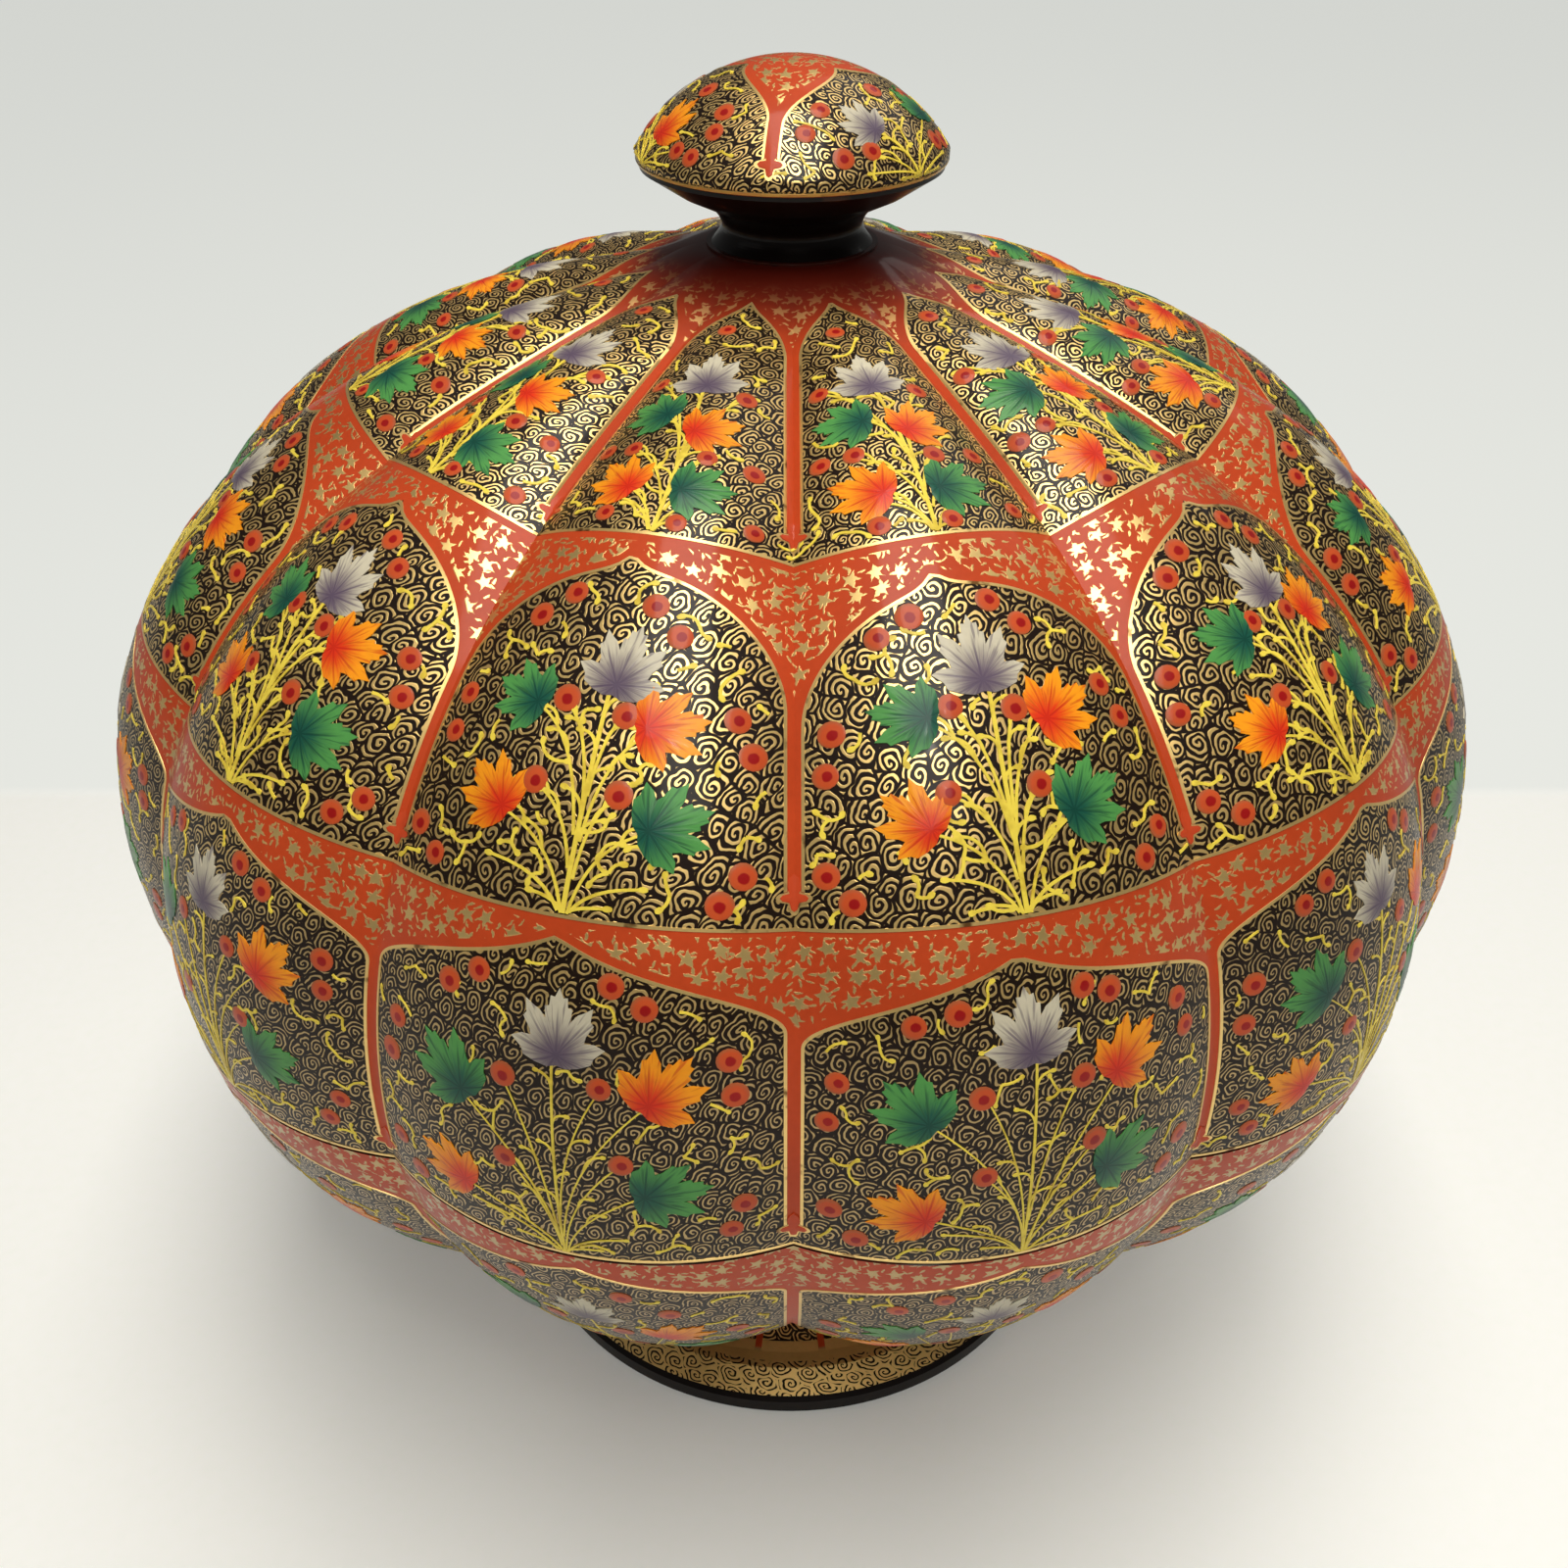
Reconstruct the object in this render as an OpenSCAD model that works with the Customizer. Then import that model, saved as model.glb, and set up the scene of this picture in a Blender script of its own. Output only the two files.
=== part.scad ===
// Lobed papier-mache box: a bowl on a flared foot and a lift-off lid with a mushroom knob.
// Millimetres, +Z up. The origin is the centre of the underside, and a valley between lobes faces -Y.

/* [Body] */
// Largest outside diameter, over the crests of the lobes
body_d = 300; // [250:1:340]
// Number of lobes round the body
lobes = 12; // [10:1:14]
// How far the valleys between lobes lie inside the crests
valley_depth = 6.5; // [4:0.5:8]
// Thickness of the papier-mache walls
wall = 5; // [4.5:0.5:6]

/* [Bowl] */
// Height from the bowl's flat underside to the widest level
belly_h = 110.5; // [95:0.5:125]
// Diameter of the flat underside, over the crests
underside_d = 127; // [120:1:134]
// Distance over which the valleys fade out towards the underside
bowl_fade = 52; // [45:1:60]
// Thickness of the bowl's floor
floor_t = 6; // [5:0.5:9]

/* [Seam] */
// How far the seam between lid and bowl lies below the widest level
seam_drop = 12.4; // [9:0.1:16]
// Thickness of the rims of bowl and lid at the seam, over the crests
rim_t = 6.2; // [5.5:0.1:7]
// Depth of the locating collar inside the bowl
collar_in = 14; // [10:0.5:16]
// Height of the locating collar above the seam
collar_out = 11; // [8:0.5:14]
// Thickness of the locating collar
collar_t = 4; // [3:0.5:5]
// Running clearance between the collar and the lid, per side
lid_fit = 0.5; // [0.3:0.1:1]

/* [Lid] */
// Height from the widest level to the shoulder of the crown
lid_h = 112.5; // [95:0.5:125]
// How square the shoulder of the lid is, 2 is an ellipse
shoulder_power = 2.15; // [2:0.05:2.3]
// Distance over which the valleys fade out towards the knob
lid_fade = 32; // [26:1:40]
// Rise of the crown that carries the knob
crown_rise = 3.5; // [2:0.5:6]
// Distance over which the crown rises
crown_w = 10; // [8:0.5:14]
// Thickness of the crown under the knob
crown_t = 9; // [8:0.5:11]

/* [Foot] */
// Height of the foot, with its base board
foot_h = 50.5; // [42:0.5:58]
// Diameter of the base board
base_d = 152; // [145:1:170]
// Thickness of the base board
base_t = 6.1; // [5:0.1:8]
// Width of the sloping band on top of the foot's rim
band_w = 7; // [5:0.5:9]
// Rise of the sloping band
band_rise = 3.3; // [2:0.1:5]
// Diameter of the foot where it meets the bowl
foot_top_d = 106; // [98:1:108]
// How far the waist of the foot is drawn in below its top
foot_waist = 9; // [6:0.5:12]
// Thickness of the foot's wall
foot_t = 6; // [5:0.5:8]

/* [Knob] */
// Diameter of the stem's base and of the top of its neck
stem_d = 32; // [28:1:34]
// Depth of the waist round the neck
neck_waist = 2; // [1:0.25:3]
// Height of the neck
neck_h = 7; // [5:0.5:10]
// Rise of the black underside from the neck to the cap
flange_rise = 8.3; // [7:0.1:12]
// Diameter of the joint between stem and cap
cap_joint_d = 59; // [54:1:60]
// Largest diameter of the cap
cap_d = 60.6; // [60.2:0.2:66]
// Height from the cap's joint to its widest level
cap_edge_h = 2.2; // [1.5:0.1:4]
// Height of the cap's dome above its widest level
cap_dome_h = 16; // [14:0.5:22]
// Diameter of the dowel that holds the knob
dowel_d = 10; // [8:0.5:12]
// Depth of the dowel's socket in the cap
socket_h = 10; // [8:0.5:12]
// Diameter of the washer glued inside the crown
washer_d = 48; // [44:1:52]
// Thickness of the washer
washer_t = 4; // [3:0.5:6]

/* [Glue joints] */
// Gap left for glue round collar and dowel, per side
glue_gap = 0.1; // [0.05:0.05:0.2]

/* [Hidden] */
$fn = 96;
eps = 0.01;

// Facets of the lobed shells: columns in each lobe and rows from rim to pole.
lobe_steps = 8;
lid_rows = 18;
lid_inner_rows = 14;
bowl_rows = 13;
bowl_inner_rows = 11;
curve_steps = 16;
chord_angle = 0.1;

body_r = body_d / 2;
columns = lobes * lobe_steps;
front_turn = -90;

foot_top_r = foot_top_d / 2;
base_r = base_d / 2;
underside_r = underside_d / 2;
// Radius within which the bowl's crest line has no valleys.
plain_r = 20;
belly_z = foot_h + belly_h;
// Height of the whole half ellipse whose lower end is cut off flat.
bowl_drop = belly_h / sqrt(1 - pow(underside_r / body_r, 2));
floor_z = foot_h + floor_t;
// Level of the waist's upper pull point, as a share of the foot's height.
waist_level = 0.72;

seam_z = belly_z - seam_drop;
seam_angle = -asin(seam_drop / bowl_drop);
ledge_z = seam_z - collar_in;
lid_seat_h = collar_out + 2;
seat_top_z = seam_z + lid_seat_h;
seam_r = body_r * cos(seam_angle);
collar_r = seam_r - rim_t;

stem_r = stem_d / 2;
crown_r = stem_r + 1;
washer_r = washer_d / 2;
crown_z = belly_z + lid_h + crown_rise;
crown_under_z = crown_z - crown_t;
crown_pad_r = washer_r + 1;
crown_angle = acos(pow(crown_r / body_r, shoulder_power / 2));
dowel_r = dowel_d / 2;
hole_r = dowel_r + 3 * glue_gap;

cap_joint_z = crown_z + neck_h + flange_rise;
cap_edge_z = cap_joint_z + cap_edge_h;
cap_r = cap_d / 2;
dowel_bottom_z = crown_under_z - washer_t;

lacquer_black = [0.06, 0.04, 0.03];
lacquer_red = [0.74, 0.2, 0.13];
gold = [0.62, 0.46, 0.2];
bare_wood = [0.7, 0.52, 0.33];

// ---- Crest line of the body, as [radius, height], by an angle from -90 (underside) to 90 (crown) ----

function crown_bump(r) = crown_rise * exp(-pow((r - crown_r) / crown_w, 2));

function crest_above(a) =
    let (r = body_r * pow(cos(a), 2 / shoulder_power))
    [r, belly_z + lid_h * pow(sin(a), 2 / shoulder_power) + crown_bump(r)];

function crest_below(a) = [body_r * cos(a), belly_z + bowl_drop * sin(a)];

function crest(a) = a > 0 ? crest_above(a) : crest_below(a);

// Outward normal of the crest line, from its chord between two close angles.
function crest_normal(a) =
    let (chord = crest(a + chord_angle / 2) - crest(a - chord_angle / 2))
    [chord[1], -chord[0]] / norm(chord);

// Angle below the widest level at which a line set in by `inset` comes down to height z.
function angle_at(z, inset = 0) = asin((z - belly_z) / (bowl_drop - inset));

// ---- Lobes ----

// 0 on the crest of a lobe and 1 in a valley, by column.
function across(column) = abs(2 * (column % lobe_steps) / lobe_steps - 1);

function valley_above(r) = 1 - exp(-pow(max(r - crown_r, 0) / lid_fade, 2));
function valley_below(r) = 1 - exp(-pow(max(r - plain_r, 0) / bowl_fade, 2));

function valley(a, column) =
    let (r = crest(a)[0])
    valley_depth * pow(across(column), 2) * (a > 0 ? valley_above(r) : valley_below(r));

function place(r, z, column) =
    let (turn = front_turn + 360 * column / columns)
    [r * cos(turn), r * sin(turn), z];

// A row that follows the body's surface, set in by `inset`.
function surface_row(a, inset = 0) =
    let (p = crest(a), n = crest_normal(a))
    [for (c = [0:columns - 1]) let (q = p - n * (inset + valley(a, c))) place(q[0], q[1], c)];

// A level row at height z, where the crest line at angle a set in by `inset` passes.
function level_row(a, z, inset = 0) =
    let (p = crest(a), n = crest_normal(a))
    [for (c = [0:columns - 1]) place(p[0] - (inset + valley(a, c)) / n[0], z, c)];

// A level row of the rims and the collar: crest radius r, with the full valley depth.
function rim_row(r, z) =
    [for (c = [0:columns - 1]) place(r - valley_depth * pow(across(c), 2), z, c)];

function round_row(r, z) = [for (c = [0:columns - 1]) place(r, z, c)];

// Angles in equal steps, with both ends left out.
function between(first, last, count) =
    [for (i = [1:count - 1]) first + (last - first) * i / count];

function side_faces(lower, upper) =
    [for (c = [0:columns - 1])
        let (d = (c + 1) % columns,
             a = lower * columns + c, b = lower * columns + d,
             e = upper * columns + c, f = upper * columns + d)
        each [[a, e, f], [a, f, b]]];

function row_ends(row, count) = [for (c = [0:columns - 1]) row * columns + c];

// A ring whose section runs once round the rows and back to the first.
module ring_of_rows(rows) {
    count = len(rows);
    polyhedron(points = [for (row = rows) each row],
               faces = [for (i = [0:count - 1]) each side_faces(i, (i + 1) % count)],
               convexity = 8);
}

// A vessel whose rows run from the rim of its underside, outside and in, to the rim of its floor.
module vessel_of_rows(rows) {
    count = len(rows);
    underside = [for (c = [0:columns - 1]) c];
    floor = [for (c = [columns - 1:-1:0]) (count - 1) * columns + c];
    polyhedron(points = [for (row = rows) each row],
               faces = [underside, each [for (i = [0:count - 2]) each side_faces(i, i + 1)], floor],
               convexity = 8);
}

// ---- Bowl ----

module bowl_shell() {
    underside_angle = angle_at(foot_h);
    floor_angle = angle_at(floor_z, wall);
    ledge_angle = angle_at(ledge_z, wall);
    rebate_r = collar_r + glue_gap;
    color(lacquer_red)
        vessel_of_rows([
            level_row(underside_angle, foot_h),
            each [for (a = between(underside_angle, seam_angle, bowl_rows)) surface_row(a)],
            rim_row(seam_r, seam_z),
            rim_row(rebate_r, seam_z),
            rim_row(rebate_r, ledge_z),
            level_row(ledge_angle, ledge_z, wall),
            each [for (a = between(ledge_angle, floor_angle, bowl_inner_rows)) surface_row(a, wall)],
            level_row(floor_angle, floor_z, wall)]);
}

module bowl_collar() {
    upper_r = collar_r - lid_fit;
    inner_r = collar_r - collar_t;
    top_z = seam_z + collar_out;
    lead_in = 1;
    color(gold)
        ring_of_rows([
            rim_row(collar_r, ledge_z),
            rim_row(collar_r, seam_z),
            rim_row(upper_r, seam_z),
            rim_row(upper_r, top_z - lead_in),
            rim_row(upper_r - lead_in, top_z),
            rim_row(inner_r, top_z),
            rim_row(inner_r, ledge_z)]);
}

// ---- Foot ----

// Outline of the foot's cove, from the sloping band up to the bowl, for s from 0 to 1.
function cove(s) =
    let (low = [base_r - band_w, base_t + band_rise],
         top = [foot_top_r, foot_h],
         waist_r = foot_top_r - foot_waist,
         pull_low = [waist_r, low[1] + 1],
         pull_top = [waist_r, foot_h * waist_level],
         q = 1 - s)
    q * q * q * low + 3 * q * q * s * pull_low + 3 * q * s * s * pull_top + s * s * s * top;

module foot() {
    outside = [for (i = [0:curve_steps]) cove(i / curve_steps)];
    inside = [for (i = [curve_steps:-1:0]) let (p = cove(i / curve_steps)) [p[0] - foot_t, p[1]]];
    color(lacquer_black)
        rotate_extrude()
            polygon([[base_r - 1, base_t], each outside, each inside,
                     [base_r - band_w - foot_t, base_t]]);
}

module base_board() {
    edge = 1.2;
    color(lacquer_black)
        rotate_extrude()
            polygon([[0, 0], [base_r - edge, 0], [base_r, edge],
                     [base_r, base_t - edge], [base_r - edge, base_t], [0, base_t]]);
}

// ---- Lid ----

module lid_shell() {
    // Angles of the first and last full rows of the inside, below the crown's pad and above the collar's seat.
    inner_top_angle = crown_angle - 9;
    seat_angle = 1.5;
    color(lacquer_red)
        ring_of_rows([
            rim_row(seam_r, seam_z),
            each [for (a = between(seam_angle, crown_angle, lid_rows)) surface_row(a)],
            round_row(crown_r, crown_z),
            round_row(hole_r, crown_z),
            round_row(hole_r, crown_under_z),
            round_row(crown_pad_r, crown_under_z),
            each [for (a = between(inner_top_angle, seat_angle, lid_inner_rows)) surface_row(a, wall)],
            rim_row(body_r - wall, seat_top_z),
            rim_row(collar_r, seat_top_z),
            rim_row(collar_r, seam_z)]);
}

module crown_washer() {
    color(bare_wood)
        translate([0, 0, crown_under_z - washer_t])
            difference() {
                cylinder(h = washer_t, r = washer_r);
                translate([0, 0, -eps]) cylinder(h = washer_t + 2 * eps, r = dowel_r + glue_gap);
            }
}

// ---- Knob ----

module knob_dowel() {
    color(bare_wood)
        translate([0, 0, dowel_bottom_z])
            cylinder(h = cap_joint_z + socket_h - dowel_bottom_z, r = dowel_r);
}

module knob_stem() {
    bore_r = dowel_r + glue_gap;
    neck = [for (i = [0:curve_steps])
        [stem_r - neck_waist * sin(180 * i / curve_steps), crown_z + neck_h * i / curve_steps]];
    flange_r = cap_joint_d / 2;
    lip = 0.8;
    // How much of the flange's rise is reached halfway out.
    hollow = 0.38;
    color(lacquer_black)
        rotate_extrude()
            polygon([[bore_r, crown_z], each neck,
                     [(stem_r + flange_r) / 2, crown_z + neck_h + flange_rise * hollow],
                     [flange_r, cap_joint_z - lip], [flange_r, cap_joint_z], [bore_r, cap_joint_z]]);
}

// The dome is an arc of a circle that stands on the cap's widest level.
module knob_cap() {
    dome_r = (cap_r * cap_r + cap_dome_h * cap_dome_h) / (2 * cap_dome_h);
    dome_z = cap_edge_z + cap_dome_h - dome_r;
    half_angle = asin(cap_r / dome_r);
    edge = [for (i = [0:curve_steps / 4])
        let (t = 90 * i / (curve_steps / 4))
        [cap_joint_d / 2 + (cap_r - cap_joint_d / 2) * sin(t), cap_edge_z - cap_edge_h * cos(t)]];
    dome = [for (i = [1:curve_steps])
        let (t = half_angle * (1 - i / curve_steps))
        [dome_r * sin(t), dome_z + dome_r * cos(t)]];
    color(lacquer_red)
        difference() {
            rotate_extrude() polygon([[0, cap_joint_z], each edge, each dome]);
            translate([0, 0, cap_joint_z - eps])
                cylinder(h = socket_h + glue_gap + eps, r = dowel_r + glue_gap);
        }
}

base_board();
foot();
bowl_shell();
bowl_collar();
lid_shell();
crown_washer();
knob_dowel();
knob_stem();
knob_cap();
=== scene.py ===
"""Looks of the lobed papier-mache box: lacquer, leaves, berries and gold scroll work on its CAD frame."""

import math

import bpy
import numpy as np
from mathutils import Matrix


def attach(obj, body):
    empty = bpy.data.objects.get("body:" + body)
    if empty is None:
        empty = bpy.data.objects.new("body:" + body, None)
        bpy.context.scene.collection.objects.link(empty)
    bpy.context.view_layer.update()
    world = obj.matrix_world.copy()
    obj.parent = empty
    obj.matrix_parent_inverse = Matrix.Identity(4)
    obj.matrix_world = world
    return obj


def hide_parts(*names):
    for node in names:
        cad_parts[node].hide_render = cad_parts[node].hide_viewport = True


MM = 0.001
DECOR_SEED = 11

# ---- Sizes of the CAD source, in millimetres ----

BODY_R = 150.0
LOBES = 12
VALLEY_DEPTH = 6.5
WALL = 5.0
FOOT_H = 50.5
BELLY_Z = FOOT_H + 110.5
UNDERSIDE_R = 63.5
BOWL_DROP = 110.5 / math.sqrt(1 - (UNDERSIDE_R / BODY_R) ** 2)
BOWL_FADE = 52.0
PLAIN_R = 20.0
FLOOR_Z = FOOT_H + 6.0
LID_H = 112.5
SHOULDER = 2.15
LID_FADE = 32.0
CROWN_RISE = 3.5
CROWN_R = 17.0
CROWN_W = 10.0
CROWN_Z = BELLY_Z + LID_H + CROWN_RISE
CROWN_UNDER_Z = CROWN_Z - 9.0
CROWN_PAD_R = 25.0
HOLE_R = 5.3
SEAM_Z = BELLY_Z - 12.4
SEAM_ANGLE = -math.degrees(math.asin(12.4 / BOWL_DROP))
SEAM_R = BODY_R * math.cos(math.radians(SEAM_ANGLE))
COLLAR_R = SEAM_R - 6.2
LEDGE_Z = SEAM_Z - 14.0
SEAT_TOP_Z = SEAM_Z + 13.0
CROWN_ANGLE = math.degrees(math.acos((CROWN_R / BODY_R) ** (SHOULDER / 2)))
UNDERSIDE_ANGLE = -math.degrees(math.asin((BELLY_Z - FOOT_H) / BOWL_DROP))
FRONT_TURN = -90.0

CAP_R = 30.3
CAP_JOINT_R = 29.5
CAP_JOINT_Z = 292.3
CAP_EDGE_H = 2.2
CAP_DOME_H = 16.0
CAP_PANELS = 3
CAP_TURN = -98.3

# ---- Finish of the shells ----

LOBE_COLUMNS = 56
CAP_COLUMNS = 108
RIM_ROUND = 0.5
PAINTED, RIM, INSIDE = 0, 1, 2

# ---- Layout of the painting, by the distance t from the crown along a crest ----

CREST_START = 15.7
NECK_T = 19.0
LINE_T = [91.8, 155.8, 223.0, 346.0]
STRIPE_HALF = 1.4
LINE_HALF = 0.32
FINIAL_RISE = 5.2

LID_EDGE_T = 221.4
LID_RING_T = 221.2
CAP_EDGE_T = 37.2
CAP_RING_T = 37.4

# A row of panels: arch tip, first drop of the arch and how soon it comes, drop of its round shoulder,
# how its stems branch (how high up the main stem, and how far a branch leans and climbs before it bends
# over), upper and lower limit, how fine its scroll work is, how broad its brush strokes are and the size
# of its berries.
ROW_KEYS = ("name", "tip", "drop", "soon", "shoulder", "stem", "top", "bottom", "fine", "brush", "berry")


def rows_of(*rows):
    return [dict(zip(ROW_KEYS, row)) for row in rows]


BODY_ROWS = rows_of(
    ("top", 28.3, 4.5, 0.3, 10.5, (0.8, 0.25, 0.75), NECK_T, LINE_T[0], 1.4, 0.74, 1.85),
    ("upper", 97.2, 3.2, 0.08, 21.0, (0.65, 0.2, 0.8), LINE_T[0], LINE_T[1], 1.12, 0.84, 2.2),
    ("lower", 160.3, 6.5, 0.35, 8.5, (0.2, 0.12, 0.6), LINE_T[1], LID_EDGE_T, 1.28, 0.52, 2.15),
    ("bowl", 226.0, 6.0, 0.35, 8.0, (0.2, 0.12, 0.6), LINE_T[2], LINE_T[3], 1.28, 0.52, 2.1),
)
CAP_ROWS = rows_of(("cap", 9.0, 4.0, 0.35, 11.0, (0.4, 0.15, 0.6), 0.0, CAP_EDGE_T, 1.45, 0.55, 1.95))


# ---- The body's and the cap's surface ----


def crest(angle):
    """Radius and height of the crest line, by an angle from the widest level, positive above it."""
    turn = np.radians(np.asarray(angle, float))
    rise = np.abs(np.sin(turn))
    above_r = BODY_R * np.cos(turn) ** (2 / SHOULDER)
    bump = CROWN_RISE * np.exp(-(((above_r - CROWN_R) / CROWN_W) ** 2))
    above_z = BELLY_Z + LID_H * rise ** (2 / SHOULDER) + bump
    is_above = np.asarray(angle) > 0
    r = np.where(is_above, above_r, BODY_R * np.cos(turn))
    z = np.where(is_above, above_z, BELLY_Z - BOWL_DROP * rise)
    return r, z


def valley_of(angle, r):
    """Depth of the valleys below the crest line."""
    above = 1 - np.exp(-((np.maximum(r - CROWN_R, 0) / LID_FADE) ** 2))
    below = 1 - np.exp(-((np.maximum(r - PLAIN_R, 0) / BOWL_FADE) ** 2))
    return VALLEY_DEPTH * np.where(np.asarray(angle) > 0, above, below)


def skin_of(r, z, deep, start, panels, turn):
    """A surface that is drawn round a profile line: t runs along the line from its upper end."""
    along = np.concatenate([[0.0], np.cumsum(np.hypot(np.diff(r), np.diff(z)))]) + start
    step_r = np.gradient(r, along)
    step_z = np.gradient(z, along)
    line = {"t": along, "r": r, "z": z, "nr": -step_z, "nz": step_r, "deep": deep}
    return line | {"panels": panels, "turn": turn}


def body_skin():
    angle = np.linspace(CROWN_ANGLE, UNDERSIDE_ANGLE, 4000)
    r, z = crest(angle)
    skin = skin_of(r, z, valley_of(angle, r), CREST_START, LOBES, FRONT_TURN)
    skin["angle"] = angle
    return skin


def cap_skin():
    dome_r = (CAP_R**2 + CAP_DOME_H**2) / (2 * CAP_DOME_H)
    edge_z = CAP_JOINT_Z + CAP_EDGE_H
    swing = np.linspace(0, math.asin(CAP_R / dome_r), 300)
    low = np.linspace(math.pi / 2, 0, 40)[1:]
    r = np.concatenate([dome_r * np.sin(swing), CAP_JOINT_R + (CAP_R - CAP_JOINT_R) * np.sin(low)])
    dome_z = edge_z + CAP_DOME_H - dome_r
    z = np.concatenate([dome_z + dome_r * np.cos(swing), edge_z - CAP_EDGE_H * np.cos(low)])
    return skin_of(r, z, np.zeros(len(r)), 0.0, CAP_PANELS, CAP_TURN)


def read(skin, t):
    return [np.interp(t, skin["t"], skin[key]) for key in ("r", "z", "nr", "nz", "deep")]


def half_width(skin, t):
    """Half the width of a panel with its share of the stripes, at t."""
    return np.interp(t, skin["t"], skin["r"]) * math.pi / skin["panels"]


def place(skin, panel, across, t, lift):
    """Points in metres: across is -1 and 1 in the valleys beside the panel and 0 on its crest."""
    r, z, nr, nz, deep = read(skin, t)
    off_crest = (across + 1) % 2 - 1
    inset = deep * off_crest**2 - lift
    turn = np.radians(skin["turn"] + (panel + 0.5 + across / 2) * 360 / skin["panels"])
    flat = r - nr * inset
    return np.stack([flat * np.cos(turn), flat * np.sin(turn), z - nz * inset], -1) * MM


BODY = body_skin()
CAP = cap_skin()


# ---- Panels ----


def hand_slips(count, rows, seed):
    """How far each panel's arch tip strays from its place by hand: across, and along t."""
    chance = np.random.default_rng(seed)
    return chance.uniform(-1, 1, (len(rows), count, 2)) * np.array([0.06, 1.2])


BODY_SLIPS = hand_slips(LOBES, BODY_ROWS, 3)
# The two panels in front, upper and lower row, as they are seen.
BODY_SLIPS[1, 11] = (-0.06, -1.2)
BODY_SLIPS[1, 0] = (-0.12, 1.4)
BODY_SLIPS[2, 11] = (-0.02, -1.2)
BODY_SLIPS[2, 0] = (-0.06, 1.5)
CAP_SLIPS = hand_slips(CAP_PANELS, CAP_ROWS, 5)


def arch(skin, row, slip, across):
    """t of the panel's arched top edge."""
    edge = 1 - STRIPE_HALF / half_width(skin, row["tip"] + row["shoulder"] + row["drop"])
    off = np.abs(across - slip[0] * (1 - across**2))
    round_off = 1 - np.sqrt(np.clip(1 - (np.abs(across) / edge) ** 2, 0, 1))
    fall = row["drop"] * (1 - np.exp(-off / row["soon"]))
    return row["tip"] + slip[1] + fall + row["shoulder"] * round_off


def outline(skin, row, slip, points):
    """The panel's outline as across and t: up the left stripe, over the arch and down the right stripe."""
    edge = 1 - STRIPE_HALF / half_width(skin, row["tip"] + row["shoulder"] + row["drop"])
    swing = np.linspace(-1, 1, points)
    over = edge * np.sin(swing * math.pi / 2)
    over_t = arch(skin, row, slip, over)
    foot_t = row["bottom"] - FINIAL_RISE - 1.0
    down = np.linspace(0, 1, points // 2)[1:]
    left_t = over_t[0] + (foot_t - over_t[0]) * down
    right_t = over_t[-1] + (foot_t - over_t[-1]) * down
    left = -(1 - STRIPE_HALF / half_width(skin, left_t))
    right = 1 - STRIPE_HALF / half_width(skin, right_t)
    across = np.concatenate([left[::-1], over, right])
    return across, np.concatenate([left_t[::-1], over_t, right_t])


def edge_distance(skin, row, slip, across, t):
    """Distance in millimetres to the panel's edge, positive on its black ground."""
    line_across, line_t = outline(skin, row, slip, 180)
    line_x = line_across * half_width(skin, line_t)
    x = across * half_width(skin, t)
    gap = np.hypot(x[:, None] - line_x[None], t[:, None] - line_t[None]).min(1)
    stripe = half_width(skin, t) - np.abs(x) - STRIPE_HALF
    below_stripe = t > row["bottom"] - FINIAL_RISE
    inside = (t > arch(skin, row, slip, across)) & ((stripe > 0) | below_stripe)
    gap = np.where(inside, gap, -gap)
    return np.minimum(gap, row["bottom"] - t)


# ---- Shells ----


def deselect():
    for item in bpy.context.selected_objects:
        item.select_set(False)


def outside_rows(skin, first, last, count):
    """Rows of a shell's painted outside as r, z, normal, valley depth, t and part."""
    t = np.linspace(first, last, count)
    r, z, nr, nz, deep = read(skin, t)
    return [list(row) + [PAINTED] for row in np.stack([r, z, nr, nz, deep, t], 1)]


def inside_rows(first, last, count):
    rows = []
    for angle in np.linspace(first, last, count):
        t = np.interp(-angle, -BODY["angle"], BODY["t"])
        r, z, nr, nz, deep = read(BODY, t)
        rows.append([r - nr * WALL, z - nz * WALL, nr, nz, deep, t, INSIDE])
    return rows


def level_row(r, z, part, deep=VALLEY_DEPTH):
    return [r, z, 1.0, 0.0, deep, 0.0, part]


def lid_rows():
    top = level_row(CROWN_R, CROWN_Z, RIM, 0.0)
    seam_t = np.interp(-SEAM_ANGLE, -BODY["angle"], BODY["t"])
    rows = [top] + outside_rows(BODY, CREST_START, seam_t - RIM_ROUND, 128)
    rows += [level_row(SEAM_R - RIM_ROUND, SEAM_Z, RIM), level_row(COLLAR_R, SEAM_Z, INSIDE)]
    rows += [level_row(COLLAR_R, SEAT_TOP_Z, INSIDE), level_row(BODY_R - WALL, SEAT_TOP_Z, INSIDE)]
    rows += inside_rows(2.5, CROWN_ANGLE - 9, 12)
    rows += [level_row(r, CROWN_UNDER_Z, INSIDE, 0.0) for r in (CROWN_PAD_R, HOLE_R)]
    return rows + [level_row(HOLE_R, CROWN_Z, RIM, 0.0), top]


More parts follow.
